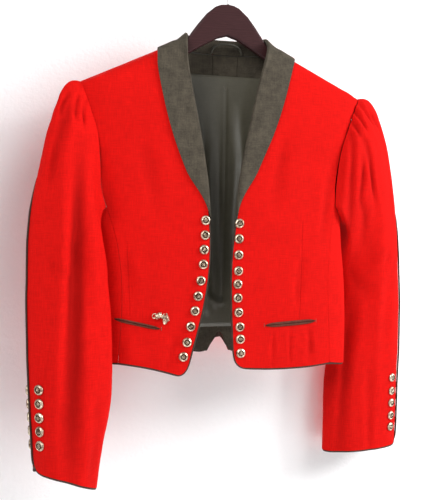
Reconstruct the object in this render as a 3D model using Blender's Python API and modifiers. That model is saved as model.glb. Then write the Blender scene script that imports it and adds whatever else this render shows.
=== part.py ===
"""A cropped trachten jacket on a wooden clothes hanger, modelled at its real size.

Metres, +Z up, the front faces -Y. The origin is the point inside the top of the hanger's hook
where a rail or wall hook carries it. Left and right are the wearer's: the left side is at +X.
"""

import math

import bmesh
import bpy
import numpy as np
from mathutils import Vector
from mathutils.bvhtree import BVHTree

# Cloth thicknesses and clearances
CLOTH = 0.0020
SLEEVE_CLOTH = 0.0016
COLLAR_CLOTH = 0.0015
FACING_CLOTH = 0.0010
GAP = 0.0003              # between pieces that meet
LAID_GAP = 0.0004         # under what is laid on a panel
LAYER_GAP = 0.0005        # between the back and its inner layers
SLEEVE_CLEAR = 0.0012     # more of it between a hanging sleeve and the body
KEEP_OUT_ROWS = 6         # rows over which it grows below the armhole
SEAM_HALF = 0.0002        # each panel stops this far short of a seam line
PIPING_RADIUS = 0.0010
PIPING_START = 0.22       # share of the first step that the collar's tip covers
PIPING_TOP = -0.290       # where the piping on the sleeve's seam starts
VENT_DROP = 0.0080        # how far below the vent's top the piping reaches the vent's middle
VENT_LIFT = 0.0016        # and how far it still stands out there
FOLD_RADIUS = 0.00205     # middle of the collar's cloth where it turns round a panel's edge
CHEST_LIFT = 0.0008       # extra clearance of the collar's fall on the chest, near the neck
RIDGE_LIFT = 0.0016       # and over the shoulder seam and the back

# Shoulder line and torso rings
SHOULDER_FALL = 0.4758    # drop of the shoulder seam for each metre outwards
NECK_OUT = 0.0700
NECK_Z = -0.1185
SHOULDER_OUT = 0.2030
SHOULDER_Z = -0.1818
BACK_NECK_DROP = 0.0040
ROUNDNESS = 2.6           # exponent of the flattened rings
# Columns: z, middle, half width, front depth, back depth
RINGS = (
    (-0.1085, 0.0000, 0.0490, 0.019, 0.034),
    (-0.1185, 0.0000, 0.0700, 0.021, 0.036),
    (-0.1818, 0.0000, 0.2030, 0.033, 0.037),
    (-0.2200, -0.0020, 0.2035, 0.039, 0.039),
    (-0.3000, -0.0060, 0.1950, 0.045, 0.041),
    (-0.3650, -0.0090, 0.1840, 0.048, 0.042),
    (-0.4100, -0.0060, 0.1860, 0.048, 0.041),
    (-0.4600, -0.0025, 0.1880, 0.048, 0.040),
    (-0.5200, -0.0020, 0.1895, 0.048, 0.038),
    (-0.5900, -0.0030, 0.1900, 0.047, 0.038),
)

# Outlines seen from the front. Columns: distance out from the middle line, z
FRONT_EDGE = {
    "right": ((0.0345, -0.3560), (0.0320, -0.4130), (0.0350, -0.4500), (0.0420, -0.4910),
              (0.0508, -0.5280), (0.0580, -0.5540), (0.0607, -0.5680), (0.0640, -0.5745),
              (0.0695, -0.5762)),
    "left": ((0.0080, -0.3530), (0.0011, -0.4050), (0.0001, -0.4610), (0.0016, -0.4990),
             (0.0043, -0.5440), (0.0060, -0.5580), (0.0088, -0.5648), (0.0145, -0.5677)),
}
ARMHOLE_FRONT = {
    "right": ((0.2030, -0.1818), (0.1955, -0.2025), (0.1905, -0.2210), (0.1845, -0.2390),
              (0.1800, -0.2645), (0.1778, -0.2940), (0.1765, -0.3250), (0.1700, -0.3500)),
    "left": ((0.2030, -0.1818), (0.1920, -0.1985), (0.1780, -0.2320), (0.1660, -0.2650),
             (0.1600, -0.2970), (0.1572, -0.3200), (0.1580, -0.3420)),
}
SEAM_FRONT = {
    "right": ((0.1700, -0.3500), (0.1570, -0.3900), (0.1500, -0.4370), (0.1510, -0.5320),
              (0.1530, -0.5577)),
    "left": ((0.1580, -0.3420), (0.1510, -0.3900), (0.1475, -0.4370), (0.1510, -0.5320),
             (0.1530, -0.5680)),
}
ARMHOLE_BACK = {
    "right": ((0.2030, -0.1818), (0.1985, -0.2050), (0.1930, -0.2350), (0.1880, -0.2700),
              (0.1850, -0.3050), (0.1830, -0.3300), (0.1760, -0.3520)),
    "left": ((0.2030, -0.1818), (0.1960, -0.2050), (0.1870, -0.2350), (0.1790, -0.2700),
             (0.1735, -0.3050), (0.1710, -0.3300), (0.1640, -0.3480)),
}
SEAM_BACK = {
    "right": ((0.1760, -0.3520), (0.1650, -0.3900), (0.1590, -0.4370), (0.1580, -0.5320),
              (0.1600, -0.5580)),
    "left": ((0.1640, -0.3480), (0.1590, -0.3900), (0.1570, -0.4370), (0.1580, -0.5320),
             (0.1600, -0.5690)),
}
HEM_SAG = {"right": 0.0025, "left": -0.0030}   # how far each front's hem bows up
ARMPIT_DIP = 0.018
SIDE_HEM_DIP = {"right": 0.0, "left": 0.005}

# The back's hem, with the notch at its fifth point. Columns: x, z
BACK_HEM = ((-0.1600, -0.5580), (-0.0600, -0.5590), (-0.0300, -0.5570), (-0.0080, -0.5540),
            (0.0050, -0.5270), (0.0146, -0.5540), (0.0350, -0.5580), (0.0650, -0.5610),
            (0.1600, -0.5690))

# The shawl collar from the break point up to the middle of the back: the panel's edge, the
# outer edge of the fall and the top of the roll, with the roll's depth in from the surface.
# Columns: edge out, edge z, fall out, fall z, roll out, roll z, roll in, facing's width, behind
COLLAR_FRONT = {
    "right": (
        (0.0345, -0.3560, 0.0405, -0.3545, 0.0316, -0.3565, 0.0010, 0.010, 0),
        (0.0355, -0.3370, 0.0480, -0.3340, 0.0325, -0.3380, 0.0010, 0.012, 0),
        (0.0372, -0.3150, 0.0590, -0.3130, 0.0340, -0.3170, 0.0008, 0.012, 0),
        (0.0418, -0.2850, 0.0710, -0.2850, 0.0384, -0.2870, 0.0006, 0.012, 0),
        (0.0495, -0.2400, 0.0880, -0.2350, 0.0457, -0.2430, 0.0002, 0.012, 0),
        (0.0590, -0.1900, 0.0985, -0.1850, 0.0550, -0.1920, -0.0010, 0.012, 0),
        (0.0640, -0.1610, 0.1020, -0.1600, 0.0600, -0.1610, -0.0020, 0.011, 0),
        (0.0675, -0.1380, 0.1010, -0.1430, 0.0618, -0.1320, -0.0030, 0.008, 0),
    ),
    "left": (
        (0.0080, -0.3530, 0.0108, -0.3515, 0.0053, -0.3535, 0.0010, 0.010, 0),
        (0.0096, -0.3300, 0.0192, -0.3290, 0.0066, -0.3310, 0.0010, 0.012, 0),
        (0.0120, -0.3070, 0.0310, -0.3060, 0.0088, -0.3090, 0.0008, 0.012, 0),
        (0.0180, -0.2770, 0.0455, -0.2740, 0.0147, -0.2790, 0.0006, 0.012, 0),
        (0.0265, -0.2400, 0.0620, -0.2370, 0.0231, -0.2420, 0.0002, 0.012, 0),
        (0.0370, -0.1960, 0.0780, -0.1900, 0.0334, -0.1980, -0.0010, 0.012, 0),
        (0.0465, -0.1620, 0.0890, -0.1550, 0.0425, -0.1630, -0.0020, 0.011, 0),
        (0.0590, -0.1345, 0.0950, -0.1390, 0.0525, -0.1310, -0.0030, 0.008, 0),
    ),
}
COLLAR_NECK = (0.0700, -0.1185, 0.0972, -0.1318, 0.0580, -0.1060, 0.0, 0.004, 0)
COLLAR_BACK = (
    (0.0600, -0.1195, 0.0860, -0.1400, 0.0480, -0.1045, 0.0010, 0.0022, 1),
    (0.0340, -0.1216, 0.0470, -0.1430, 0.0270, -0.1036, 0.0010, 0.0022, 1),
    (0.0000, -0.1225, 0.0000, -0.1440, 0.0000, -0.1035, 0.0010, 0.0022, 1),
)

# The back's inner layers
FACING_TOP_DROP = 0.0036  # below the neck's edge
FACING_BOTTOM = -0.1540
FACING_HALF = 0.066
HEM_FACING_TOP = -0.5215
HEM_FACING_RISE = 0.0008  # above the hem's edge
LINING_RIDGE_DROP = 0.016 # below the shoulder seam
LINING_HALF = 0.152
# Columns: x, height, width
LINING_FOLDS = ((0.004, 0.0035, 0.009), (-0.034, 0.0022, 0.014), (0.041, 0.0024, 0.013),
                (-0.080, 0.0020, 0.018), (0.088, 0.0020, 0.018))

# Sleeves below the cap. Columns: z, middle out, middle y, half width, half depth
SLEEVE_RINGS = {
    "right": ((-0.400, 0.2244, -0.036, 0.0454, 0.034), (-0.440, 0.2208, -0.045, 0.0500, 0.032),
              (-0.480, 0.2185, -0.050, 0.0525, 0.031), (-0.520, 0.2172, -0.053, 0.0532, 0.031),
              (-0.560, 0.2160, -0.054, 0.0530, 0.032), (-0.595, 0.2158, -0.053, 0.0515, 0.034),
              (-0.630, 0.2168, -0.051, 0.0483, 0.037), (-0.665, 0.2195, -0.049, 0.0436, 0.040),
              (-0.700, 0.2207, -0.047, 0.0396, 0.043)),
    "left": ((-0.400, 0.2415, 0.032, 0.0480, 0.033), (-0.440, 0.2440, 0.038, 0.0515, 0.030),
             (-0.480, 0.2455, 0.041, 0.0545, 0.028), (-0.520, 0.2450, 0.042, 0.0565, 0.027),
             (-0.560, 0.2435, 0.042, 0.0580, 0.027), (-0.600, 0.2410, 0.042, 0.0600, 0.026),
             (-0.640, 0.2400, 0.042, 0.0608, 0.025), (-0.680, 0.2400, 0.042, 0.0605, 0.025),
             (-0.715, 0.2395, 0.042, 0.0600, 0.025)),
}
# Columns: z in the middle, rise on the outside, rise at the front
CUFF_HEM = {"right": (-0.7045, 0.0145, 0.0110), "left": (-0.7190, 0.0025, 0.0010)}
SLIT_TOP = -0.080         # turn of the sleeve's seam at the armhole and below SLIT_DRIFT_END
SLIT_LOW = {"right": 0.043, "left": 0.045}
SLIT_DRIFT_END = -0.420
UNDER_TURN = {"right": 0.660, "left": 0.420}   # turn of the column that starts under the arm
KEEP_OUT_BELOW = -0.335   # the sleeves clear the body from here down
CORNER_RADIUS = 0.018
# How a cap's cloth leaves the armhole: out, more out on top, forward, up, more up on top
CAP_LEAVE = (0.085, 0.035, 0.090, -0.005, 0.035)
CAP_ARRIVE = (0.010, 0.175, 0.100)          # and comes down: out, down, more down on top
CAP_STEPS = (0.0, 0.06, 0.13, 0.21, 0.31, 0.42, 0.54, 0.67, 0.79, 0.90, 1.0)
UNDER_DROP = 0.050        # how much lower the cap ends under the arm
UNDER_DROP_END = -0.560   # the height where the rows below are level again
GATHER_PEAK = 0.10        # where along the cap the gathers stand highest
GATHER_FADE = 0.16        # and how fast they fade below it
GATHER_WIDTH = 0.011      # half width of one, as a turn
GATHER_LEAN = 0.4         # how far they point along the cap
# Columns: turn, height
GATHERS = ((-0.150, 0.0017), (-0.105, 0.0021), (-0.036, 0.0018), (0.012, 0.0026),
           (0.056, 0.0021), (0.104, 0.0027), (0.150, 0.0020), (0.196, 0.0016))
# Columns: turn, width, depth, top z, bottom z
SLEEVE_FOLDS = {
    "right": ((0.345, 0.040, 0.0050, -0.250, -0.640), (0.135, 0.035, 0.0035, -0.230, -0.430),
              (0.800, 0.060, 0.0040, -0.300, -0.600)),
    "left": ((0.300, 0.045, 0.0040, -0.230, -0.430), (0.180, 0.040, 0.0025, -0.420, -0.600),
             (0.800, 0.060, 0.0040, -0.300, -0.600)),
}

# Pockets. Columns: outer end, inner end, height of the mouth in the middle
POCKETS = {
    "right": ((0.1580, -0.4985), (0.0987, -0.5115), 0.0048),
    "left": ((0.1260, -0.5060), (0.0495, -0.5100), 0.0066),
}
POCKET_LIP = 0.0014
POCKET_STEPS = 10
CHARM_PLACE = (0.0985, -0.4990)
# Columns: x and z from the place, radius
CHARM_BEADS = ((0.0075, 0.0020, 0.0048), (0.0000, -0.0010, 0.0050), (-0.0070, -0.0030, 0.0050),
               (0.0015, 0.0062, 0.0036), (-0.0080, 0.0030, 0.0040))
CHARM_FLATNESS = 0.5

# Buttons
BUTTON_RADIUS = 0.0066
BUTTON_HEIGHT = 0.0034
# From the middle underneath over the rim to the middle on top, as shares of both
BUTTON_PROFILE = ((0.0, 0.0), (1.0, 0.18), (0.90, 1.0), (0.66, 0.80), (0.0, 0.92))
BUTTONS = {
    "right": ((0.0385, -0.3655), (0.0390, -0.3855), (0.0400, -0.4050), (0.0410, -0.4250),
              (0.0440, -0.4470), (0.0475, -0.4680), (0.0515, -0.4880), (0.0570, -0.5090),
              (0.0618, -0.5305), (0.0665, -0.5500)),
    "left": ((0.0092, -0.3690), (0.0088, -0.3900), (0.0088, -0.4120), (0.0087, -0.4340),
             (0.0080, -0.4520), (0.0085, -0.4710), (0.0100, -0.4910), (0.0120, -0.5110),
             (0.0130, -0.5280), (0.0140, -0.5475)),
}
CUFF_BUTTON_HEIGHTS = {
    "right": (-0.5850, -0.6025, -0.6200, -0.6375, -0.6555),
    "left": (-0.6040, -0.6250, -0.6440, -0.6640, -0.6820),
}
# Columns: distance from the slit along the cloth, rise on the right cuff, rise on the left cuff
CUFF_BUTTON_ROWS = {"front": (0.0178, 0.0055, -0.0045), "back": (-0.0122, 0.0, 0.0)}

# Hanger and hook
WOOD_HALF = 0.0055
WOOD_ROUNDING = 0.0032
HANGER_TOP = ((0.0000, -0.0620), (0.0090, -0.0630), (0.0170, -0.0662), (0.0300, -0.0770),
              (0.0410, -0.0905), (0.0505, -0.1035), (0.0570, -0.1135), (0.0650, -0.1234),
              (0.0750, -0.1280), (0.1000, -0.1363), (0.1500, -0.1600), (0.1840, -0.1763))
HANGER_END = ((0.1900, -0.1820), (0.1895, -0.1905), (0.1840, -0.1950))
HANGER_LOW = ((0.1600, -0.1850), (0.1200, -0.1670), (0.0800, -0.1480), (0.0540, -0.1335),
              (0.0320, -0.1200), (0.0140, -0.1100), (0.0000, -0.1058))
WIRE_RADIUS = 0.00175
HOOK_INSIDE = 0.0190
SHANK_X = 0.0020
SHANK_TOP = -0.0520
NECK_BEND = (0.0035, -0.0465)
HOOK_DEGREES = (-60, 206, 19)
HOOK_STEPS = 30
LOOP_STEPS = 14
LOOP_RADIUS = 0.0016
LOOP_ROUTE = ((-0.0150, 0.0287, -0.1240), (-0.0120, 0.0276, -0.1165), (-0.0040, 0.0262, -0.1118),
              (0.0080, 0.0256, -0.1105), (0.0200, 0.0262, -0.1118), (0.0280, 0.0276, -0.1165),
              (0.0310, 0.0287, -0.1240))

# Grid sizes
SHOULDER_COLUMNS = 9
NECK_COLUMNS = 8
UPPER_ROWS = 10
LOWER_ROWS = 8
SIDE_COLUMNS = 6
CHEST_STATIONS = 9
NECK_STATIONS = 25
BUTTON_SIDES = 8
SETTLE_ROUNDS = 4
PROBE_STEP = 0.0015
TURN_STEP = 0.001
# Places inside a grid's cell as shares of its four corners
CELL_PLACES = ((0.25, 0.25, 0.25, 0.25), (0.5, 0.5, 0.0, 0.0), (0.5, 0.0, 0.5, 0.0),
               (0.0, 0.5, 0.0, 0.5), (0.0, 0.0, 0.5, 0.5), (1.0, 0.0, 0.0, 0.0))
SIGN = {"right": -1.0, "left": 1.0}


def clear_scene():
    for thing in list(bpy.data.objects):
        bpy.data.objects.remove(thing, do_unlink=True)


def make_material(name, colour, roughness, metallic=0.0):
    material = bpy.data.materials.new(name)
    material.use_nodes = True
    shader = material.node_tree.nodes["Principled BSDF"]
    shader.inputs["Base Color"].default_value = (*colour, 1.0)
    shader.inputs["Roughness"].default_value = roughness
    shader.inputs["Metallic"].default_value = metallic
    return material


def make_materials():
    return {
        "wool": make_material("red_wool", (0.80, 0.02, 0.01), 0.85),
        "trim": make_material("olive_trim", (0.085, 0.085, 0.055), 0.90),
        "lining": make_material("green_lining", (0.16, 0.19, 0.13), 0.45),
        "piping": make_material("brown_piping", (0.055, 0.035, 0.022), 0.80),
        "brass": make_material("pale_brass", (0.80, 0.66, 0.42), 0.28, 1.0),
        "wood": make_material("dark_wood", (0.075, 0.018, 0.010), 0.30),
        "steel": make_material("steel_wire", (0.60, 0.60, 0.62), 0.25, 1.0),
    }


def new_object(name, data, material):
    data.materials.append(material)
    thing = bpy.data.objects.new(name, data)
    bpy.data.collections["trachten_jacket"].objects.link(thing)
    return thing


def ring(z):
    """Middle, half width, front depth and back depth of the torso at a height."""
    table = np.array(RINGS)[::-1]
    return [float(np.interp(z, table[:, 0], table[:, column])) for column in range(1, 5)]


def torso_point(x, z, behind):
    middle, half, front, back = ring(z)
    reach = min(abs(x - middle) / half, 1.0)
    depth = back if behind else -front
    return Vector((x, depth * (1.0 - reach ** ROUNDNESS) ** (1.0 / ROUNDNESS), z))


def torso_level(point):
    middle, half, front, back = ring(point.z)
    depth = back if point.y > 0 else front
    return (abs(point.x - middle) / half) ** ROUNDNESS + (abs(point.y) / depth) ** ROUNDNESS


def torso_normal(point):
    """Outward direction of the torso's surface, from small steps each way."""
    step = PROBE_STEP
    slopes = []
    for axis in (Vector((step, 0, 0)), Vector((0, step, 0)), Vector((0, 0, step))):
        slopes.append(torso_level(point + axis) - torso_level(point - axis))
    return Vector(slopes).normalized()


def smooth_through(points, knots, places):
    """A smooth curve that passes the given points at their knots, read at some places."""
    given = np.array(points, float)
    slopes = np.gradient(given, knots, axis=0)
    left = np.clip(np.searchsorted(knots, places) - 1, 0, len(knots) - 2)
    span = (knots[left + 1] - knots[left])[:, None]
    t = (places - knots[left])[:, None] / span
    return ((2 * t ** 3 - 3 * t ** 2 + 1) * given[left]
            + (t ** 3 - 2 * t ** 2 + t) * span * slopes[left]
            + (3 * t ** 2 - 2 * t ** 3) * given[left + 1]
            + (t ** 3 - t ** 2) * span * slopes[left + 1])


def lengths_along(points):
    steps = np.linalg.norm(np.diff(np.array(points, float), axis=0), axis=1)
    return np.concatenate([[0.0], np.cumsum(steps)])


def along(points, fractions):
    """Points of a smooth curve through the given ones, at fractions of its length."""
    knots = lengths_along(points)
    curve = smooth_through(points, knots, np.linspace(0, knots[-1], 40 * len(points)))
    length = lengths_along(curve)
    wanted = np.array(fractions) * length[-1]
    return np.stack([np.interp(wanted, length, curve[:, i]) for i in range(curve.shape[1])], 1)


def upper_fractions():
    return [(row / UPPER_ROWS) ** 1.5 for row in range(UPPER_ROWS + 1)]


def lower_fractions():
    return [1 - (1 - row / LOWER_ROWS) ** 1.35 for row in range(LOWER_ROWS + 1)]


def two_part_edge(upper, lower):
    """Upper and lower outline of a panel, joined where they meet."""
    return np.vstack([along(upper, upper_fractions()), along(lower, lower_fractions())[1:]])


def edge_weights(edge):
    """How far down its panel each row lies, from 0 at the top to 1 at the hem."""
    return (edge[:, 1] - edge[0, 1]) / (edge[-1, 1] - edge[0, 1])


def grid_points(outline_grid, behind):
    return [[torso_point(x, z, behind) for x, z in row] for row in outline_grid]


def pull_in(grid, amount):
    """Move a grid's border in by an amount, so that two panels leave a seam gap."""
    def nearer(point, inner):
        return point + (inner - point).normalized() * amount
    pulled = [[nearer(row[0], row[1])] + row[1:-1] + [nearer(row[-1], row[-2])] for row in grid]
    first = [nearer(a, b) for a, b in zip(pulled[0], pulled[1])]
    last = [nearer(a, b) for a, b in zip(pulled[-1], pulled[-2])]
    return [first] + pulled[1:-1] + [last]


def offset_grid(grid, distance):
    return [[p + torso_normal(p) * distance for p in row] for row in grid]


def wall(name, outer, inner, material):
    """A closed cloth wall between an outer and an inner grid of points."""
    rows, columns = len(outer), len(outer[0])
    size = rows * columns
    points = [p for row in outer for p in row] + [p for row in inner for p in row]
    faces = []
    for r in range(rows - 1):
        for c in range(columns - 1):
            a = r * columns + c
            b, d, e = a + 1, a + columns, a + columns + 1
            faces.append((a, d, e, b))
            faces.append((a + size, b + size, e + size, d + size))
    border = [r * columns for r in range(rows)]
    border += [(rows - 1) * columns + c for c in range(1, columns)]
    border += [r * columns + columns - 1 for r in range(rows - 2, -1, -1)]
    border += list(range(columns - 2, 0, -1))
    for a, b in zip(border, border[1:] + border[:1]):
        faces.append((a, a + size, b + size, b))
    mesh = bpy.data.meshes.new(name)
    mesh.from_pydata([tuple(p) for p in points], [], faces)
    body = bmesh.new()
    body.from_mesh(mesh)
    bmesh.ops.recalc_face_normals(body, faces=body.faces)
    body.to_mesh(mesh)
    body.free()
    return new_object(name, mesh, material)


def surface_tree(grids, flip=False):
    """Search tree over grids of points, with its normals on the cloth's outer side."""
    points, faces = [], []
    for grid in grids:
        columns = len(grid[0])
        for r in range(len(grid) - 1):
            for c in range(columns - 1):
                start = len(points)
                corners = [grid[r][c], grid[r + 1][c], grid[r + 1][c + 1], grid[r][c + 1]]
                points += corners
                for corner in ((0, 1, 2), (0, 2, 3)):
                    a, b, d = (corners[i] for i in corner)
                    facing = (b - a).cross(d - a).dot(torso_normal((a + b + d) / 3.0))
                    order = corner if (facing > 0) != flip else corner[::-1]
                    faces.append(tuple(start + i for i in order))
    return BVHTree.FromPolygons([tuple(p) for p in points], faces)


def lay_on(tree, point, clearance):
    place, normal, _, _ = tree.find_nearest(point)
    return place + normal * clearance


def settle(grid, tree, columns, clearance):
    """Move a grid's points off a surface until the middles of its cells clear it too."""
    for _ in range(SETTLE_ROUNDS):
        for upper, lower in zip(grid, grid[1:]):
            for c in columns:
                corners = [upper[c], upper[c + 1], lower[c], lower[c + 1]]
                for weights in CELL_PLACES:
                    point = sum((w * p for w, p in zip(weights, corners)), Vector())
                    place, normal, _, _ = tree.find_nearest(point)
                    apart = point - place
                    outside = apart.dot(normal) > 0
                    missing = clearance - apart.length if outside else clearance + apart.length
                    away = apart.normalized() if outside else normal
                    for corner in corners:
                        corner += away * max(0.0, missing)


def nearest_on_line(line, point):
    """The nearest point to a given one on a line of joined points."""
    places = []
    for a, b in zip(line, line[1:]):
        share = (point - a).dot(b - a) / (b - a).length_squared
        places.append(a.lerp(b, min(1.0, max(0.0, share))))
    return min(places, key=lambda place: (place - point).length)


def tube(name, points, radius, material, resolution=0):
    curve = bpy.data.curves.new(name, "CURVE")
    curve.dimensions = "3D"
    curve.bevel_depth = radius
    curve.bevel_resolution = resolution
    curve.use_fill_caps = True
    spline = curve.splines.new("POLY")
    spline.points.add(len(points) - 1)
    for target, point in zip(spline.points, points):
        target.co = (*point, 1.0)
    return new_object(name, curve, material)


def neckline(side):
    """The front panel's edge under the collar, from the neck point down."""
    edge = [row[:2] for row in COLLAR_FRONT[side]]
    return [COLLAR_NECK[:2]] + edge[::-1]


def front_grid(side):
    """Outline grid of a front: rows from shoulder to hem, columns from its edge outwards."""
    inner = two_part_edge(neckline(side), FRONT_EDGE[side])
    outer = two_part_edge(ARMHOLE_FRONT[side], SEAM_FRONT[side])
    rows = []
    for place, (near, far) in enumerate(zip(inner, outer)):
        down = place / (len(inner) - 1)
        row = []
        for c in range(SHOULDER_COLUMNS + 1):
            t = c / SHOULDER_COLUMNS
            out, z = near * (1 - t) + far * t
            bow = HEM_SAG[side] * 4 * t * (1 - t) * max(0.0, 2 * down - 1)
            row.append((SIGN[side] * out, z + bow))
        rows.append(row)
    return rows


def side_grid(side):
    """Points of the side panel: rows down, columns from the front seam to the back seam."""
    front = along(SEAM_FRONT[side], lower_fractions())
    back = along(SEAM_BACK[side], lower_fractions())
    rows = []
    for place, (near, far) in enumerate(zip(front, back)):
        down = place / LOWER_ROWS
        angles = []
        for sign, (out, z) in ((-1, near), (1, far)):
            middle, half, _, _ = ring(z)
            reach = abs(SIGN[side] * out - middle) / half
            angles.append(sign * math.acos(min(reach, 1.0) ** (ROUNDNESS / 2)))
        row = []
        for c in range(SIDE_COLUMNS + 1):
            t = c / SIDE_COLUMNS
            angle = angles[0] * (1 - t) + angles[1] * t
            dip = 4 * t * (1 - t) * (ARMPIT_DIP * (1 - down) ** 2 + SIDE_HEM_DIP[side] * down)
            z = near[1] * (1 - t) + far[1] * t - dip
            middle, half, depth_front, depth_back = ring(z)
            depth = depth_back if angle > 0 else depth_front
            power = 2 / ROUNDNESS
            x = middle + SIGN[side] * half * math.cos(angle) ** power
            y = math.copysign(depth * abs(math.sin(angle)) ** power, angle)
            row.append(Vector((x, y, z)))
        rows.append(row)
    return rows


def neck_line(x):
    """Height of the back's neck edge."""
    return NECK_Z - BACK_NECK_DROP * (1 - min(1.0, (x / NECK_OUT) ** 2))


def back_top():
    """Top edge of the back from the right shoulder over the neck to the left shoulder."""
    shoulder = [(SHOULDER_OUT + (NECK_OUT - SHOULDER_OUT) * c / SHOULDER_COLUMNS,
                 SHOULDER_Z + (NECK_Z - SHOULDER_Z) * c / SHOULDER_COLUMNS)
                for c in range(SHOULDER_COLUMNS)]
    neck = []
    for c in range(NECK_COLUMNS + 1):
        x = -NECK_OUT * math.cos(math.pi * c / NECK_COLUMNS)
        neck.append((x, neck_line(x)))
    right = [(-out, z) for out, z in shoulder]
    return np.array(right + neck + shoulder[::-1])


def back_grid():
    """Outline grid of the back, blended between its four edges."""
    top = back_top()
    count = len(top)
    half = count // 2
    low = np.array(BACK_HEM)
    knots = np.interp(range(count), (0, half - 3, half - 2, half - 1, half, half + 1, half + 2,
                                     half + 3, count - 1), range(len(BACK_HEM)))
    hem = np.stack([np.interp(knots, range(len(low)), low[:, i]) for i in (0, 1)], 1)
    right = two_part_edge(ARMHOLE_BACK["right"], SEAM_BACK["right"]) * (-1, 1)
    left = two_part_edge(ARMHOLE_BACK["left"], SEAM_BACK["left"])
    weights = (edge_weights(right) + edge_weights(left)) / 2
    rows = []
    for r, v in enumerate(weights):
        row = []
        for c in range(count):
            u = c / (count - 1)
            corners = ((1 - u) * ((1 - v) * right[0] + v * right[-1])
                       + u * ((1 - v) * left[0] + v * left[-1]))
            sides = (1 - u) * right[r] + u * left[r]
            row.append(tuple((1 - v) * top[c] + v * hem[c] + sides - corners))
        rows.append(row)
    return rows


def make_panels(materials):
    """The five body panels; returns their outer and inner grids."""
    grids = {
        "front_right": grid_points(front_grid("right"), False),
        "front_left": grid_points(front_grid("left"), False),
        "side_right": side_grid("right"),
        "side_left": side_grid("left"),
        "back": grid_points(back_grid(), True),
    }
    outer = {name: pull_in(grid, SEAM_HALF) for name, grid in grids.items()}
    inner = {name: offset_grid(grid, -CLOTH) for name, grid in outer.items()}
    for name in grids:
        wall(name, outer[name], inner[name], materials["wool"])
    return outer, inner


def collar_rows():
    """The collar's table rows from the right break point round the neck to the left one."""
    rows = [(SIGN["right"], row) for row in COLLAR_FRONT["right"]]
    rows.append((SIGN["right"], COLLAR_NECK))
    rows += [(SIGN["right"], row) for row in COLLAR_BACK]
    rows += [(SIGN["left"], row) for row in COLLAR_BACK[-2::-1]]
    rows.append((SIGN["left"], COLLAR_NECK))
    rows += [(SIGN["left"], row) for row in COLLAR_FRONT["left"][::-1]]
    return rows


def collar_section(sign, row):
    """Middle of the collar's cloth across one station, from the facing's edge to the fall's,
    and last the middle of the panel's edge that it turns round."""
    edge_out, edge_z, fall_out, fall_z, roll_out, roll_z, roll_in, facing, behind = row
    edge = torso_point(sign * edge_out, edge_z, behind)
    normal = torso_normal(edge)
    centre = edge - normal * CLOTH / 2
    crest = Vector((sign * roll_out, edge.y, roll_z))
    crest.y += -roll_in if behind else roll_in
    rise = crest - centre
    up = rise.normalized()
    across = (normal - up * normal.dot(up)).normalized()
    straight = max(rise.length - FOLD_RADIUS, GAP)
    bend = FOLD_RADIUS * math.sqrt(0.5)
    fall = Vector((sign * fall_out, 0.0, fall_z)) - Vector((edge.x, 0.0, edge.z))
    inner_end = torso_point(edge.x + fall.normalized().x * facing,
                            edge.z + fall.normalized().z * facing, behind)
    section = [
        inner_end - torso_normal(inner_end) * (CLOTH / 2 + FOLD_RADIUS),
        centre - normal * FOLD_RADIUS,
        centre + up * straight - across * FOLD_RADIUS,
        centre + up * (straight + bend) - across * bend,
        crest,
        centre + up * (straight + bend) + across * bend,
        centre + up * straight + across * FOLD_RADIUS,
        centre + normal * FOLD_RADIUS,
    ]
    for t in (0.25, 0.5, 0.75, 1.0):
        place = torso_point(edge.x + fall.x * t, edge.z + fall.z * t, behind)
        section.append(place + torso_normal(place) * (FOLD_RADIUS - CLOTH / 2))
    return section + [centre]


def surface_normals(grid, seam=False):
    """Unit normals of a grid; with a seam, its first and last columns share theirs."""
    points = np.array([[tuple(p) for p in row] for row in grid])
    down = np.gradient(points, axis=0)
    across = np.gradient(points, axis=1)
    normals = np.cross(across, down)
    normals /= np.linalg.norm(normals, axis=2, keepdims=True)
    if seam:
        shared = normals[:, 0] + normals[:, -1]
        shared /= np.linalg.norm(shared, axis=1, keepdims=True)
        normals[:, 0] = shared
        normals[:, -1] = shared
    return normals


def thicken(grid, thickness, seam=False):
    """Outer and inner grids on both sides of a middle grid."""
    points = np.array([[tuple(p) for p in row] for row in grid])
    shift = surface_normals(grid, seam) * thickness / 2
    return ([[Vector(p) for p in row] for row in points + shift],
            [[Vector(p) for p in row] for row in points - shift])


def ramp(value, low, high):
    t = min(1.0, max(0.0, (value - low) / (high - low)))
    return t * t * (3 - 2 * t)


def collar_lift(point):
    return CHEST_LIFT * ramp(point.z, -0.28, -0.21) + RIDGE_LIFT * ramp(point.y, -0.030, -0.014)


def collar_rim(outer, inner):
    """Middle of the panels' edges under the collar, from the right break point to the left."""
    def middles(name, places):
        return [(outer[name][r][c] + inner[name][r][c]) / 2 for r, c in places]
    neck = range(SHOULDER_COLUMNS, SHOULDER_COLUMNS + NECK_COLUMNS + 1)
    right = middles("front_right", [(r, 0) for r in range(UPPER_ROWS, -1, -1)])
    back = middles("back", [(0, c) for c in neck])
    return right + back + middles("front_left", [(r, 0) for r in range(UPPER_ROWS + 1)])


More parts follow.
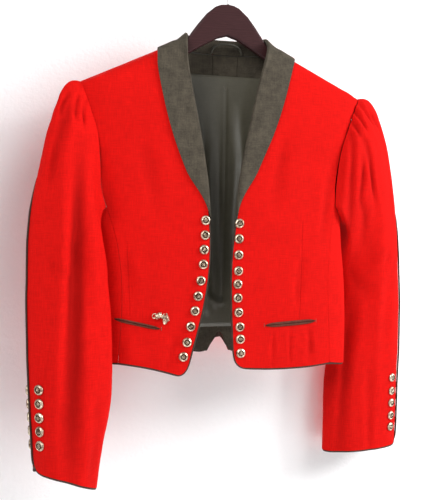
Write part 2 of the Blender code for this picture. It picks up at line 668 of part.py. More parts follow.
def make_collar(materials, outer, inner, outer_tree, inner_tree):
    stations = [collar_section(sign, row) for sign, row in collar_rows()]
    knots = np.arange(len(stations), dtype=float)
    neck = (6.0, knots[-1] - 6.0)
    places = np.concatenate([np.linspace(0, neck[0], CHEST_STATIONS)[:-1],
                             np.linspace(*neck, NECK_STATIONS),
                             np.linspace(neck[1], knots[-1], CHEST_STATIONS)[1:]])
    columns = []
    for k in range(len(stations[0])):
        columns.append(smooth_through([tuple(s[k]) for s in stations], knots, places))
    edge = columns.pop()
    fold = len(columns) - 4
    half = COLLAR_CLOTH / 2
    rim = collar_rim(outer, inner)
    grid = []
    for j in range(len(places)):
        row = []
        centre = Vector(edge[j])
        shift = nearest_on_line(rim, centre) - centre
        for k, column in enumerate(columns):
            point = Vector(column[j])
            if 0 < k < fold:
                point += shift
            lift = collar_lift(point)
            if k < 2:
                point = lay_on(inner_tree, point, GAP + half)
            elif k >= fold - 1:
                point = lay_on(outer_tree, point, GAP + half + lift)
            row.append(point)
        grid.append(row)
    settle(grid, outer_tree, range(fold - 1, len(columns) - 1), 2 * GAP + half)
    settle(grid, inner_tree, (0,), GAP + half)
    upper, lower = thicken(grid, COLLAR_CLOTH)
    wall("collar", upper, lower, materials["trim"])


def back_layer(tree, across, top, bottom, rows, folds):
    """Grids of a thin layer inside the back, with soft folds towards the front."""
    outer, inner = [], []
    for r in range(rows + 1):
        t = r / rows
        outer_row, inner_row = [], []
        for x in across:
            z = top(x) * (1 - t) + bottom(x) * t
            place = torso_point(x, z, True)
            place -= torso_normal(place) * CLOTH
            lift = sum(height * math.exp(-((x - middle) / width) ** 2)
                       for middle, height, width in folds) * min(1.0, 6 * t, 6 * (1 - t))
            outer_row.append(lay_on(tree, place, LAYER_GAP + lift))
            inner_row.append(lay_on(tree, place, LAYER_GAP + lift + FACING_CLOTH))
        outer.append(outer_row)
        inner.append(inner_row)
    return outer, inner


def back_hem_line(x):
    low = np.array(BACK_HEM)
    return float(np.interp(x, low[:, 0], low[:, 1]))


def lining_top(x):
    ridge = NECK_Z - (abs(x) - NECK_OUT) * SHOULDER_FALL
    return min(FACING_BOTTOM - 2 * SEAM_HALF, ridge - LINING_RIDGE_DROP)


def make_back_layers(materials, tree):
    """Neck facing, lining and hem facing, edge to edge inside the back."""
    layers = (
        ("back_neck_facing", np.linspace(-FACING_HALF, FACING_HALF, 11),
         lambda x: neck_line(x) - FACING_TOP_DROP, lambda x: FACING_BOTTOM, 2, (), "trim"),
        ("back_lining", np.linspace(-LINING_HALF, LINING_HALF, 17),
         lining_top, lambda x: HEM_FACING_TOP + 2 * SEAM_HALF, 9, LINING_FOLDS, "lining"),
        ("back_hem_facing",
         np.concatenate([np.linspace(-0.150, -0.0300, 5), [-0.0080, 0.0050, 0.0146],
                         np.linspace(0.0350, 0.150, 5)]),
         lambda x: HEM_FACING_TOP, lambda x: back_hem_line(x) + HEM_FACING_RISE, 2, (), "trim"),
    )
    for name, across, top, bottom, rows, folds, slot in layers:
        outer, inner = back_layer(tree, across, top, bottom, rows, folds)
        wall(name, outer, inner, materials[slot])


def armhole_loop(outer, side):
    """Closed line of the armhole from the shoulder down the front and up the back."""
    front = [row[-1] for row in outer["front_" + side][:UPPER_ROWS + 1]]
    under = outer["side_" + side][0]
    column = 0 if side == "right" else -1
    back = [row[column] for row in outer["back"][:UPPER_ROWS + 1]]
    points = front + under[1:-1] + back[::-1]
    points[0] = (front[0] + back[0]) / 2
    points[-1] = points[0]
    return points


def loop_turns(points):
    """Turn of each point of the armhole line, from 0 to 1."""
    lengths = lengths_along([tuple(p) for p in points])
    return lengths / lengths[-1]


def read_loop(points, turns, turn):
    """A point of the armhole line and the torso's normal there."""
    wanted = turn % 1.0
    i = int(np.clip(np.searchsorted(turns, wanted) - 1, 0, len(points) - 2))
    t = (wanted - turns[i]) / (turns[i + 1] - turns[i])
    normal = torso_normal(points[i]).lerp(torso_normal(points[i + 1]), t).normalized()
    return points[i].lerp(points[i + 1], t), normal


def sleeve_shares(turns):
    """Places of the sleeve's columns, from its seam once round: close beside the seam, one on
    each gather and each trough between, and one on each corner of the armhole below."""
    crests = sorted((turn - SLIT_TOP) % 1.0 for turn, _ in GATHERS)
    front = [c for c in crests if c < 0.5]
    rear = [c for c in crests if c > 0.5]
    columns = [0.0, 0.012, 0.030]
    for a, b in zip(front, front[1:]):
        columns += [a, (a + b) / 2]
    columns.append(front[-1])
    low, high = front[-1] + 0.020, rear[0] - 0.020
    columns += [turn - SLIT_TOP for turn in turns if low < turn - SLIT_TOP < high]
    for a, b in zip(rear, rear[1:]):
        columns += [a, (a + b) / 2]
    columns.append(rear[-1])
    return columns + [0.988, 1.0]


def gather_height(turn):
    """Height of the gathers round the armhole: 1 crest each, a trough half way between."""
    total = 0.0
    for crest, height in GATHERS:
        apart = (turn - crest + 0.5) % 1.0 - 0.5
        total += height * math.exp(-(apart / GATHER_WIDTH) ** 2)
    return total


def ring_row(side, z):
    table = np.array(SLEEVE_RINGS[side])[::-1]
    return [float(np.interp(z, table[:, 0], table[:, i])) for i in range(1, 5)]


def sleeve_turn(side, share, z):
    """Turn round the sleeve of a column at a height; only the seam's side drifts forward."""
    down = min(1.0, max(0.0, (SHOULDER_Z - z) / (SHOULDER_Z - SLIT_DRIFT_END)))
    start = SLIT_TOP + (SLIT_LOW[side] - SLIT_TOP) * down
    under = 0.5 - SLIT_TOP
    middle = UNDER_TURN[side]
    if share < under:
        return start + (middle - start) * share / under
    return middle + (1 + start - middle) * (share - under) / (1 - under)


def ellipse_point(side, turn, z):
    out, y, half_width, half_depth = ring_row(side, z)
    angle = 2 * math.pi * turn
    return Vector((SIGN[side] * (out + half_width * math.cos(angle)),
                   y - half_depth * math.sin(angle), z))


def fold_depth(side, turn, z):
    """Depth of the sleeve's long soft troughs at a turn and a height."""
    depth = 0.0
    for middle, width, deep, top, bottom in SLEEVE_FOLDS[side]:
        if bottom < z < top:
            fade = math.sin(math.pi * (z - bottom) / (top - bottom)) ** 2
            apart = (turn - middle + 0.5) % 1.0 - 0.5
            depth += deep * fade * math.exp(-(apart / width) ** 2)
    return depth


def sleeve_hem_z(side, turn, from_slit):
    """Height of the sleeve's hem, tilted, and rounded up beside the vent."""
    middle_z, outside_up, front_up = CUFF_HEM[side]
    angle = 2 * math.pi * turn
    z = middle_z + outside_up * math.cos(angle) + front_up * math.sin(angle)
    missing = max(0.0, CORNER_RADIUS - from_slit)
    return z + CORNER_RADIUS - math.sqrt(CORNER_RADIUS ** 2 - missing ** 2)


def cuff_girth(side):
    _, _, half_width, half_depth = ring_row(side, SLEEVE_RINGS[side][-1][0])
    return math.pi * (3 * (half_width + half_depth)
                      - math.sqrt((3 * half_width + half_depth) * (half_width + 3 * half_depth)))


def dropped(turn, z, top_z):
    """A row's height at a turn of the sleeve: lower under the arm, less so further down."""
    share = min(1.0, max(0.0, (z - UNDER_DROP_END) / (top_z - UNDER_DROP_END)))
    return z - UNDER_DROP * share * (1 - math.cos(2 * math.pi * turn)) / 2


def sleeve_middle(side, loop):
    """Middle grid of a sleeve's cloth: rows down from the armhole, columns round it."""
    top_z = SLEEVE_RINGS[side][0][0]
    turns = loop_turns(loop)
    shares = sleeve_shares(turns)
    clear = LAID_GAP + SLEEVE_CLOTH / 2
    grid = []
    for step in CAP_STEPS:
        row = []
        for share in shares:
            turn = SLIT_TOP + share
            edge, normal = read_loop(loop, turns, turn)
            start = edge + normal * clear
            low_turn = sleeve_turn(side, share, top_z)
            end = ellipse_point(side, low_turn, dropped(low_turn, top_z, top_z))
            lean = math.cos(2 * math.pi * turn)
            ahead = math.sin(2 * math.pi * turn)
            out, out_top, forward, up, up_top = CAP_LEAVE
            leave = Vector((SIGN[side] * (out + out_top * lean), -forward * ahead,
                            up + up_top * lean))
            out, low, low_top = CAP_ARRIVE
            arrive = Vector((SIGN[side] * out, 0.0, -(low + low_top * lean)))
            t = step
            point = (start * (2 * t ** 3 - 3 * t ** 2 + 1) + leave * (t ** 3 - 2 * t ** 2 + t)
                     + end * (3 * t ** 2 - 2 * t ** 3) + arrive * (t ** 3 - t ** 2))
            fade = math.exp(-max(0.0, t - GATHER_PEAK) / GATHER_FADE)
            rise = min(1.0, t / GATHER_PEAK) * fade
            outward = (normal + leave.normalized() * GATHER_LEAN).normalized()
            row.append(point + outward * gather_height(turn) * rise)
        grid.append(row)
    girth = cuff_girth(side)
    for z in [row[0] for row in SLEEVE_RINGS[side][1:-1]]:
        turns = [sleeve_turn(side, share, z) for share in shares]
        grid.append([ellipse_point(side, turn, dropped(turn, z, top_z)) for turn in turns])
    hem = []
    for share in shares:
        turn = sleeve_turn(side, share, SLEEVE_RINGS[side][-1][0])
        z = sleeve_hem_z(side, turn, min(share, 1 - share) * girth)
        hem.append(ellipse_point(side, turn, z))
    grid.append(hem)
    return grid, shares


def torso_distance(point):
    """Rough distance of a point out from the torso's surface."""
    value = torso_level(point) ** (1 / ROUNDNESS)
    beyond = torso_level(point + torso_normal(point) * PROBE_STEP) ** (1 / ROUNDNESS)
    return (value - 1) * PROBE_STEP / (beyond - value)


def keep_out(grid):
    """Move the points of a sleeve's lower part that come too near the body off it."""
    result = []
    for number, row in enumerate(grid):
        clear = SLEEVE_CLOTH / 2 + GAP + SLEEVE_CLEAR * min(1.0, number / KEEP_OUT_ROWS)
        new_row = []
        for point in row:
            if point.z < KEEP_OUT_BELOW:
                for _ in range(3):
                    missing = clear - torso_distance(point)
                    point = point + torso_normal(point) * max(0.0, missing)
            new_row.append(point)
        result.append(new_row)
    return result


def indent(side, grid, shares):
    """Press the long soft troughs into a sleeve's middle grid."""
    normals = surface_normals(grid)
    centre = np.array([[tuple(p) for p in row] for row in grid]).mean(axis=1)
    result = []
    for r, row in enumerate(grid):
        new_row = []
        for c, point in enumerate(row):
            normal = Vector(normals[r][c])
            if normal.dot(point - Vector(centre[r])) < 0:
                normal = -normal
            turn = sleeve_turn(side, shares[c], point.z)
            new_row.append(point - normal * fold_depth(side, turn, point.z))
        result.append(new_row)
    return result


def make_sleeve(materials, outer, side):
    """One sleeve with its seam slit; returns the middle grid and the outer grid."""
    loop = armhole_loop(outer, side)
    grid, shares = sleeve_middle(side, loop)
    grid = keep_out(indent(side, grid, shares))
    for row in grid:
        row[0] += (row[1] - row[0]).normalized() * GAP
        row[-1] += (row[-2] - row[-1]).normalized() * GAP
    first, second = thicken(grid, SLEEVE_CLOTH, seam=True)
    if side == "right":
        first, second = second, first
    wall("sleeve_" + side, first, second, materials["wool"])
    return grid, first


def make_sleeve_piping(materials, side, grid, outer):
    """Piping down the sleeve's seam, into the open vent and along the cuff's edge."""
    lift = PIPING_RADIUS + GAP
    points = []
    first_row = next(r for r, row in enumerate(grid) if row[0].z < PIPING_TOP)
    for r in range(first_row, len(grid)):
        seam = (outer[r][0] + outer[r][-1]) / 2
        outward = (outer[r][0] - grid[r][0]).normalized()
        points.append(seam + outward * (lift + GAP))
    drop = (grid[-1][0] - grid[-2][0]).normalized() * VENT_DROP
    points.append((grid[-1][0] + grid[-1][-1]) / 2 + drop + outward * VENT_LIFT)
    low, above = grid[-1], grid[-2]
    for c in range(1, len(low) - 1):
        run = (low[c + 1] - low[c - 1]).normalized()
        away = low[c] - above[c]
        away = away - run * away.dot(run)
        points.append(low[c] + away.normalized() * lift)
    tube("sleeve_piping_" + side, points, PIPING_RADIUS, materials["piping"])


def edge_line(outer, inner):
    """The body's free edge from the right break point along the hem to the left one."""
    def middle(name, r, c):
        return (outer[name][r][c] + inner[name][r][c]) / 2
    line = []
    for r in range(UPPER_ROWS, UPPER_ROWS + LOWER_ROWS):
        line.append((middle("front_right", r, 0), middle("front_right", r, 1)))
    last = UPPER_ROWS + LOWER_ROWS
    for name, order in (("front_right", 1), ("side_right", 1), ("back", 1), ("side_left", -1),
                        ("front_left", -1)):
        bottom = len(outer[name]) - 1
        columns = list(range(len(outer[name][0])))[::order]
        if name.startswith("side"):
            columns = columns[1:-1]
        for c in columns:
            line.append((middle(name, bottom, c), middle(name, bottom - 1, c)))
    for r in range(last - 1, UPPER_ROWS - 1, -1):
        line.append((middle("front_left", r, 0), middle("front_left", r, 1)))
    return line


def make_edge_piping(materials, outer, inner):
    lift = PIPING_RADIUS + GAP
    line = edge_line(outer, inner)
    points = []
    for i, (point, inside) in enumerate(line):
        before = line[max(i - 1, 0)][0]
        after = line[min(i + 1, len(line) - 1)][0]
        run = (after - before).normalized()
        away = point - inside
        away = (away - run * away.dot(run)).normalized()
        points.append(point + away * lift)
    points[0] = points[0].lerp(points[1], PIPING_START)
    points[-1] = points[-1].lerp(points[-2], PIPING_START)
    tube("edge_piping", points, PIPING_RADIUS, materials["piping"])


def make_pocket(materials, tree, side):
    """Two raised lips with the dark mouth between them, laid on the front."""
    start, end, mouth = POCKETS[side]
    heights = (POCKET_LIP / 2, POCKET_LIP, POCKET_LIP / 2, POCKET_LIP, POCKET_LIP / 2)
    outer, inner = [], []
    for i in range(POCKET_STEPS + 1):
        t = i / POCKET_STEPS
        width = POCKET_LIP + mouth * math.sqrt(max(0.0, 1 - (2 * t - 1) ** 4)) * 0.8
        out = start[0] + (end[0] - start[0]) * t
        z = start[1] + (end[1] - start[1]) * t
        outer_row, inner_row = [], []
        for k, height in enumerate(heights):
            place = torso_point(SIGN[side] * out, z + width * (0.5 - k / 4), False)
            inner_row.append(lay_on(tree, place, LAID_GAP))
            outer_row.append(lay_on(tree, place, LAID_GAP + height))
        outer.append(outer_row)
        inner.append(inner_row)
    wall("pocket_" + side, outer, inner, materials["piping"])


def make_button(name, where, normal, materials):
    """A domed button with a rim, turned round its axis and set square on the cloth."""
    profile = [(radius * BUTTON_RADIUS, height * BUTTON_HEIGHT)
               for radius, height in BUTTON_PROFILE]
    mesh = bpy.data.meshes.new(name)
    edges = [(i, i + 1) for i in range(len(profile) - 1)]
    mesh.from_pydata([(r, 0.0, h) for r, h in profile], edges, [])
    button = new_object(name, mesh, materials["brass"])
    screw = button.modifiers.new("turned", "SCREW")
    screw.steps = BUTTON_SIDES
    screw.render_steps = BUTTON_SIDES
    screw.use_merge_vertices = True
    screw.merge_threshold = 0.00001
    screw.use_normal_calculate = True
    button.location = where + normal * LAID_GAP
    button.rotation_euler = normal.to_track_quat("Z", "Y").to_euler()


def make_front_buttons(materials, tree):
    for side, places in BUTTONS.items():
        for number, (out, z) in enumerate(places, 1):
            place = torso_point(SIGN[side] * out, z, False)
            where, normal, _, _ = tree.find_nearest(place)
            make_button("front_button_%s_%d" % (side, number), where, normal, materials)


def turn_along(side, turn, z, distance):
    """The turn reached from a turn of the sleeve's ring by a distance along the cloth."""
    step = math.copysign(TURN_STEP, distance)
    walked = 0.0
    while walked < abs(distance):
        walked += (ellipse_point(side, turn + step, z) - ellipse_point(side, turn, z)).length
        turn += step
    return turn


def make_cuff_buttons(materials, side, outer):
    """Two rows of buttons, in front of and behind the slit of a cuff."""
    tree = surface_tree([outer])
    for row_name, (distance, rise_right, rise_left) in CUFF_BUTTON_ROWS.items():
        rise = rise_right if side == "right" else rise_left
        for number, height in enumerate(CUFF_BUTTON_HEIGHTS[side], 1):
            z = height + rise
            turn = turn_along(side, sleeve_turn(side, 0.0, z), z, distance)
            out, y, _, _ = ring_row(side, z)
            place = ellipse_point(side, turn, z)
            outward = place - Vector((SIGN[side] * out, y, z))
            where, normal, _, _ = tree.find_nearest(place + outward.normalized() * PROBE_STEP)
            if normal.dot(outward) < 0:
                normal = -normal
            name = "cuff_button_%s_%s_%d" % (side, row_name, number)
            make_button(name, where, normal, materials)


def make_charms(materials, tree):
    """A cluster of small round metal charms on a short bar, fused into one body."""
    out, z = CHARM_PLACE
    sign = SIGN["right"]
    bodies = []
    for dx, dz, radius in CHARM_BEADS:
        place = torso_point(sign * out + dx, z + dz, False)
        spot = lay_on(tree, place, LAID_GAP + radius * CHARM_FLATNESS)
        bpy.ops.mesh.primitive_uv_sphere_add(segments=8, ring_count=6, radius=radius, location=spot)
        bead = bpy.context.object
        bead.scale = (1.0, CHARM_FLATNESS, 1.0)
        bodies.append(bead)
    base = bodies[0]
    for other in bodies[1:]:
        union = base.modifiers.new("fused", "BOOLEAN")
        union.operation = "UNION"
        union.solver = "EXACT"
        union.object = other
    bpy.context.view_layer.update()
    graph = bpy.context.evaluated_depsgraph_get()
    mesh = bpy.data.meshes.new_from_object(base.evaluated_get(graph))
    charms = new_object("charms", mesh, materials["brass"])
    charms.matrix_world = base.matrix_world
    for body in bodies:
        bpy.data.objects.remove(body, do_unlink=True)


def make_hanger(materials):
    """The wooden hanger: a flat outline, made thick, with rounded edges."""
    half = list(HANGER_TOP) + list(HANGER_END) + list(HANGER_LOW)
    outline = half + [(-x, z) for x, z in half[-2:0:-1]]
    mesh = bpy.data.meshes.new("hanger")
    body = bmesh.new()
    front = body.faces.new([body.verts.new((x, -WOOD_HALF, z)) for x, z in outline])
    moved = bmesh.ops.extrude_face_region(body, geom=[front])["geom"]
    corners = [item for item in moved if isinstance(item, bmesh.types.BMVert)]
    bmesh.ops.translate(body, verts=corners, vec=(0.0, 2 * WOOD_HALF, 0.0))
    bmesh.ops.recalc_face_normals(body, faces=body.faces)
    body.to_mesh(mesh)
    body.free()
    hanger = new_object("hanger", mesh, materials["wood"])
    rounding = hanger.modifiers.new("rounded", "BEVEL")
    rounding.width = WOOD_ROUNDING
    rounding.segments = 2
    rounding.limit_method = "ANGLE"
    rounding.angle_limit = math.radians(60)


def hook_route():
    """The wire from the wood up over the bearing point to its tip."""
    radius = HOOK_INSIDE + WIRE_RADIUS
    centre_z = WIRE_RADIUS - radius
    points = [(SHANK_X, 0.0, HANGER_TOP[0][1] + GAP), (SHANK_X, 0.0, SHANK_TOP),
              (NECK_BEND[0], 0.0, NECK_BEND[1])]
    for degrees in range(*HOOK_DEGREES):
        angle = math.radians(degrees)
        points.append((radius * math.cos(angle), 0.0, centre_z + radius * math.sin(angle)))
    return points


def make_hook(materials):
    points = along(hook_route(), np.linspace(0, 1, HOOK_STEPS))
    tube("hook", [Vector(p) for p in points], WIRE_RADIUS, materials["steel"], resolution=1)


def make_loop(materials):
    points = along(LOOP_ROUTE, np.linspace(0, 1, LOOP_STEPS))
    tube("hanger_loop", [Vector(p) for p in points], LOOP_RADIUS, materials["trim"], resolution=1)


def main():
    clear_scene()
    parts = bpy.data.collections.new("trachten_jacket")
    bpy.context.scene.collection.children.link(parts)
    materials = make_materials()
    outer, inner = make_panels(materials)
    outer_tree = surface_tree(outer.values())
    inner_tree = surface_tree(inner.values(), flip=True)
    make_collar(materials, outer, inner, outer_tree, inner_tree)
    make_back_layers(materials, inner_tree)
    for side in ("right", "left"):
        grid, sleeve_outer = make_sleeve(materials, outer, side)
        make_sleeve_piping(materials, side, grid, sleeve_outer)
        make_cuff_buttons(materials, side, sleeve_outer)
        make_pocket(materials, outer_tree, side)
    make_edge_piping(materials, outer, inner)
    make_front_buttons(materials, outer_tree)
    make_charms(materials, outer_tree)
    make_hanger(materials)
    make_hook(materials)
    make_loop(materials)


main()
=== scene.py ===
"""Looks of the trachten jacket on its hanger. Lengths are in metres in the frame of the CAD model:
+X is the wearer's left, the front faces -Y, and the origin is inside the top of the hook."""

import math

import bpy
import numpy as np
from mathutils import Matrix, Quaternion, Vector


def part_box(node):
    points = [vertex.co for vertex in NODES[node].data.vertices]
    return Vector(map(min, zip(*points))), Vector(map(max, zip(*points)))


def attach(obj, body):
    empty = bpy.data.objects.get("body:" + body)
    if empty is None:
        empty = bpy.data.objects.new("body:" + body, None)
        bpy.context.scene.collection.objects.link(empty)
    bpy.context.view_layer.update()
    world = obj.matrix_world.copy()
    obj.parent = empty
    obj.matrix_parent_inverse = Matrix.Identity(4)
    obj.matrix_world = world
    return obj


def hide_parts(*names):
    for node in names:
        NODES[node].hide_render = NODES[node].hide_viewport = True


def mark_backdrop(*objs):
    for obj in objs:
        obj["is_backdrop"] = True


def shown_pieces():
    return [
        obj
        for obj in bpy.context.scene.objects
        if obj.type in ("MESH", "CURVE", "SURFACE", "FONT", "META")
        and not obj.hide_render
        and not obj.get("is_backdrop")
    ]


bl_info = {
    "name": "Trachten Jacket",
    "version": (1, 0, 0),
    "blender": (4, 5, 0),
    "location": "View3D > Sidebar > Jacket",
    "description": "Builds the looks of a cropped jacket that hangs on a wooden hanger",
    "category": "Object",
}

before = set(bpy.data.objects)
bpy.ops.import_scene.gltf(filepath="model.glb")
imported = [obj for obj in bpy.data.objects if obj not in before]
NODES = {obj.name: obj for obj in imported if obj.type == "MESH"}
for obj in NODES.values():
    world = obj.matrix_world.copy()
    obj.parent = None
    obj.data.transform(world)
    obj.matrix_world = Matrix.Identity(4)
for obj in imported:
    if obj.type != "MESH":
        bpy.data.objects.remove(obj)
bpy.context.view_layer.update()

# The torso's cross sections: z, middle, half width, front depth, back depth.
TORSO = np.array([
    (-.1085, 0, .049, .019, .034), (-.1185, 0, .070, .021, .036), (-.1818, 0, .203, .033, .037),
    (-.22, -.002, .2035, .039, .039), (-.30, -.006, .195, .045, .041), (-.365, -.009, .184, .048, .042),
    (-.41, -.006, .186, .048, .041), (-.46, -.0025, .188, .048, .040), (-.52, -.002, .1895, .048, .038),
    (-.59, -.003, .190, .047, .038)])
TORSO_ROUNDNESS = 2.6
# The sleeves' middles and half sizes, from the head to the cuff: z, x, y, half width, half depth.
SLEEVES = {
    "right": np.array([
        (-.19, -.2095, .001, .047, .033), (-.27, -.2165, -.006, .047, .034), (-.40, -.2244, -.036, .0454, .034),
        (-.44, -.2208, -.045, .050, .032), (-.48, -.2185, -.050, .0525, .031), (-.52, -.2172, -.053, .0532, .031),
        (-.56, -.2160, -.054, .053, .032), (-.63, -.2168, -.051, .0483, .037), (-.70, -.2207, -.047, .0396, .043)]),
    "left": np.array([
        (-.19, .2095, .004, .047, .033), (-.27, .2190, .012, .048, .034), (-.40, .2415, .032, .048, .033),
        (-.44, .2440, .038, .0515, .030), (-.48, .2455, .041, .0545, .028), (-.52, .2450, .042, .0565, .027),
        (-.56, .2435, .042, .058, .027), (-.64, .2400, .042, .0608, .025), (-.715, .2395, .042, .060, .025)]),
}

# Creases: depth in mm (a ridge is negative), half width in mm, the depth's shares at both ends, and the
# line's points as (x, z). "front" and "back" say on which side of the cloth they lie.
FRONT_CREASES = [
    (1.0, 4.5, (0, .4), [(.088, -.513), (.087, -.535), (.088, -.563)]),
    (1.5, 7.5, (0, .5), [(.115, -.512), (.119, -.533), (.119, -.561)]),
    (.9, 4.5, (0, .4), [(.062, -.518), (.061, -.542), (.061, -.568)]),
    (1.1, 10, (0, 0), [(.106, -.405), (.099, -.450), (.096, -.490)]),
    (1.4, 13, (.3, 0), [(.158, -.263), (.144, -.334), (.135, -.405)]),
    (1.2, 17, (0, 0), [(.080, -.235), (.067, -.300), (.060, -.365)]),
    (1.5, 13, (.3, 0), [(-.180, -.264), (-.168, -.328), (-.161, -.393)]),
    (1.1, 17, (0, 0), [(-.128, -.236), (-.114, -.300), (-.104, -.366)]),
    (.8, 9, (0, .5), [(-.074, -.518), (-.082, -.541), (-.087, -.566)]),
    (-.8, 17, (0, .4), [(-.139, -.514), (-.137, -.539), (-.135, -.566)]),
    (1.0, 9, (0, 0), [(-.146, -.400), (-.140, -.440), (-.137, -.480)]),
]
BACK_CREASES = [
    (-2.0, 20, (.2, .3), [(-.118, -.190), (-.104, -.300), (-.098, -.430), (-.110, -.560)]),
    (-1.6, 20, (.2, .5), [(-.064, -.230), (-.058, -.340), (-.052, -.560)]),
    (-1.7, 15, (0, .6), [(.034, -.260), (.046, -.390), (.041, -.560)]),
    (-2.2, 18, (.2, .3), [(.126, -.200), (.112, -.320), (.117, -.440), (.104, -.560)]),
    (-1.2, 11, (0, 0), [(-.150, -.372), (-.120, -.384), (-.080, -.381)]),
    (-1.3, 12, (0, 0), [(.150, -.362), (.117, -.378), (.070, -.371), (.030, -.379)]),
    (-.8, 9, (0, 0), [(-.020, -.144), (.004, -.149), (.040, -.143)]),
    (-1.4, 13, (.3, 0), [(.176, -.250), (.160, -.310), (.152, -.370)]),
    (-1.2, 13, (.3, 0), [(-.178, -.258), (-.166, -.318), (-.150, -.366)]),
]
LINING_CREASES = [
    (1.5, 8.5, (0, .6), [(-.023, -.206), (-.024, -.292), (-.018, -.394), (-.014, -.497)]),
    (1.5, 10, (0, .6), [(.030, -.188), (.036, -.276), (.033, -.364), (.036, -.440)]),
    (-1.2, 8.5, (0, .4), [(-.007, -.234), (-.007, -.336), (0, -.483)]),
    (1.3, 5.7, (0, 0), [(-.014, -.476), (.001, -.487), (.018, -.482)]),
    (.45, 2.6, (.6, .2), [(.009, -.170), (.0105, -.250), (.011, -.335), (.009, -.505)]),
    (1.5, 14, (.2, .5), [(-.085, -.230), (-.078, -.350), (-.083, -.510)]),
    (1.4, 13, (.2, .5), [(.092, -.220), (.084, -.360), (.088, -.515)]),
]
SLEEVE_CREASES = {
    ("right", "front"): [
        (2.6, 10, (.3, .2), [(-.217, -.206), (-.226, -.241), (-.236, -.279), (-.242, -.328)]),
        (-1.8, 14, (.2, .6), [(-.223, -.305), (-.226, -.393), (-.228, -.481), (-.230, -.591)]),
        (6.2, 18, (.2, .15), [(-.202, -.262), (-.207, -.310), (-.209, -.359), (-.209, -.418), (-.214, -.517),
                              (-.216, -.581), (-.216, -.633), (-.217, -.704)]),
        (2.4, 4.4, (.5, 0), [(-.206, -.203), (-.210, -.222), (-.211, -.243)]),
        (2.2, 4.4, (.5, 0), [(-.197, -.211), (-.200, -.227), (-.199, -.253)]),
        (2.0, 4.4, (.5, 0), [(-.220, -.202), (-.228, -.218), (-.233, -.236)]),
        (1.3, 5, (.4, 0), [(-.230, -.206), (-.240, -.224), (-.248, -.250)]),
        (1.5, 11, (0, 0), [(-.183, -.348), (-.196, -.383), (-.206, -.405)]),
        (1.5, 11, (0, 0), [(-.240, -.420), (-.231, -.438), (-.213, -.451)]),
        (1.2, 11, (0, 0), [(-.180, -.505), (-.194, -.525), (-.209, -.532)]),
        (1.3, 10, (0, .4), [(-.243, -.504), (-.246, -.566), (-.247, -.641)]),
        (1.7, 11, (0, .6), [(-.181, -.569), (-.184, -.632), (-.189, -.696)])],
    ("left", "front"): [
        (2.2, 4.4, (.5, 0), [(.187, -.197), (.195, -.214), (.208, -.235)]),
        (2.0, 4.4, (.5, 0), [(.199, -.193), (.209, -.208), (.226, -.228)]),
        (1.8, 4.4, (.5, 0), [(.211, -.198), (.222, -.214), (.237, -.231)]),
        (1.8, 4.4, (.5, 0), [(.180, -.203), (.186, -.223), (.194, -.244)]),
        (2.5, 7, (.1, 0), [(.188, -.225), (.206, -.258), (.220, -.309), (.235, -.354)]),
        (2.4, 8.5, (0, 0), [(.199, -.244), (.199, -.332), (.212, -.354), (.217, -.407)]),
        (2.6, 8.5, (.3, 0), [(.181, -.240), (.179, -.303), (.184, -.377), (.189, -.468)]),
        (-1.6, 17, (0, .2), [(.230, -.257), (.246, -.361), (.255, -.484), (.252, -.608)]),
        (2.4, 13, (0, .3), [(.214, -.468), (.206, -.545), (.201, -.637), (.198, -.722)]),
        (1.4, 11, (0, 0), [(.267, -.406), (.257, -.435), (.237, -.447)]),
        (1.3, 11, (0, 0), [(.203, -.425), (.218, -.459), (.242, -.478)]),
        (1.5, 11, (0, .3), [(.244, -.577), (.243, -.639), (.246, -.718)])],
    ("right", "back"): [
        (3.2, 15, (.2, .2), [(-.222, -.280), (-.228, -.380), (-.226, -.500), (-.222, -.700)]),
        (2.2, 11, (.3, 0), [(-.206, -.215), (-.203, -.290), (-.198, -.370)]),
        (1.7, 5, (.5, 0), [(-.192, -.210), (-.196, -.238), (-.203, -.262)]),
        (1.5, 5, (.5, 0), [(-.215, -.203), (-.224, -.226), (-.230, -.250)]),
        (1.8, 11, (0, 0), [(-.250, -.420), (-.228, -.444), (-.196, -.452)]),
        (1.5, 12, (0, 0), [(-.246, -.498), (-.226, -.512), (-.198, -.508)])],
    ("left", "back"): [
        (3.0, 15, (.2, .2), [(.224, -.290), (.240, -.390), (.246, -.520), (.238, -.716)]),
        (2.2, 11, (.3, 0), [(.206, -.213), (.205, -.282), (.200, -.360)]),
        (1.6, 5, (.5, 0), [(.190, -.212), (.197, -.240), (.205, -.266)]),
        (1.6, 5, (.5, 0), [(.214, -.204), (.223, -.224), (.233, -.246)]),
        (1.7, 11, (0, 0), [(.272, -.432), (.248, -.452), (.214, -.450)]),
        (1.4, 12, (0, 0), [(.276, -.520), (.252, -.540), (.218, -.534)])],
}
# The creases of each region of the cloth, by the side that they lie on.
REGIONS = {
    "torso": {"front": FRONT_CREASES, "back": BACK_CREASES}, "lining": {"back": LINING_CREASES},
    "sleeve_right": {face: SLEEVE_CREASES["right", face] for face in ("front", "back")},
    "sleeve_left": {face: SLEEVE_CREASES["left", face] for face in ("front", "back")},
}
# How far the cloth is uneven between its creases, and how far the creases may move the inner layers.
SLEEVE_UNEVENNESS, TORSO_UNEVENNESS = .00045, .0003
BACK_INWARD_LIMIT = .0004
LINING_SLACK, LINING_FORWARD_LIMIT = .0004, .0046
# The depths between which the red material paints shade into a trough's colour.
FOLD_SHADE_DEPTHS = (.0003, .0065)
# Sewn lines that show as fine grooves, with painted shade in their colour: both ends as (x, z).
DARTS = [((.1035, -.366), (.1030, -.433)), ((.1030, -.433), (.1010, -.502)),
         ((-.1430, -.395), (-.1400, -.445)), ((-.1400, -.445), (-.1380, -.494))]
# The slits between the pocket mouths' lips, drawn as painted shade in the mouths' colour and a groove in the bump.
POCKET_SLITS = [((-.1580, -.4985), (-.0990, -.5115)), ((.0500, -.5100), (.1260, -.5060))]
# The facings' seams, drawn as painted groove shade in the olive's colour: both ends as (x, z).
FACING_SEAMS = [((-.0120, -.1270), (-.0112, -.1560)), ((.0262, -.1250), (.0262, -.1560))]
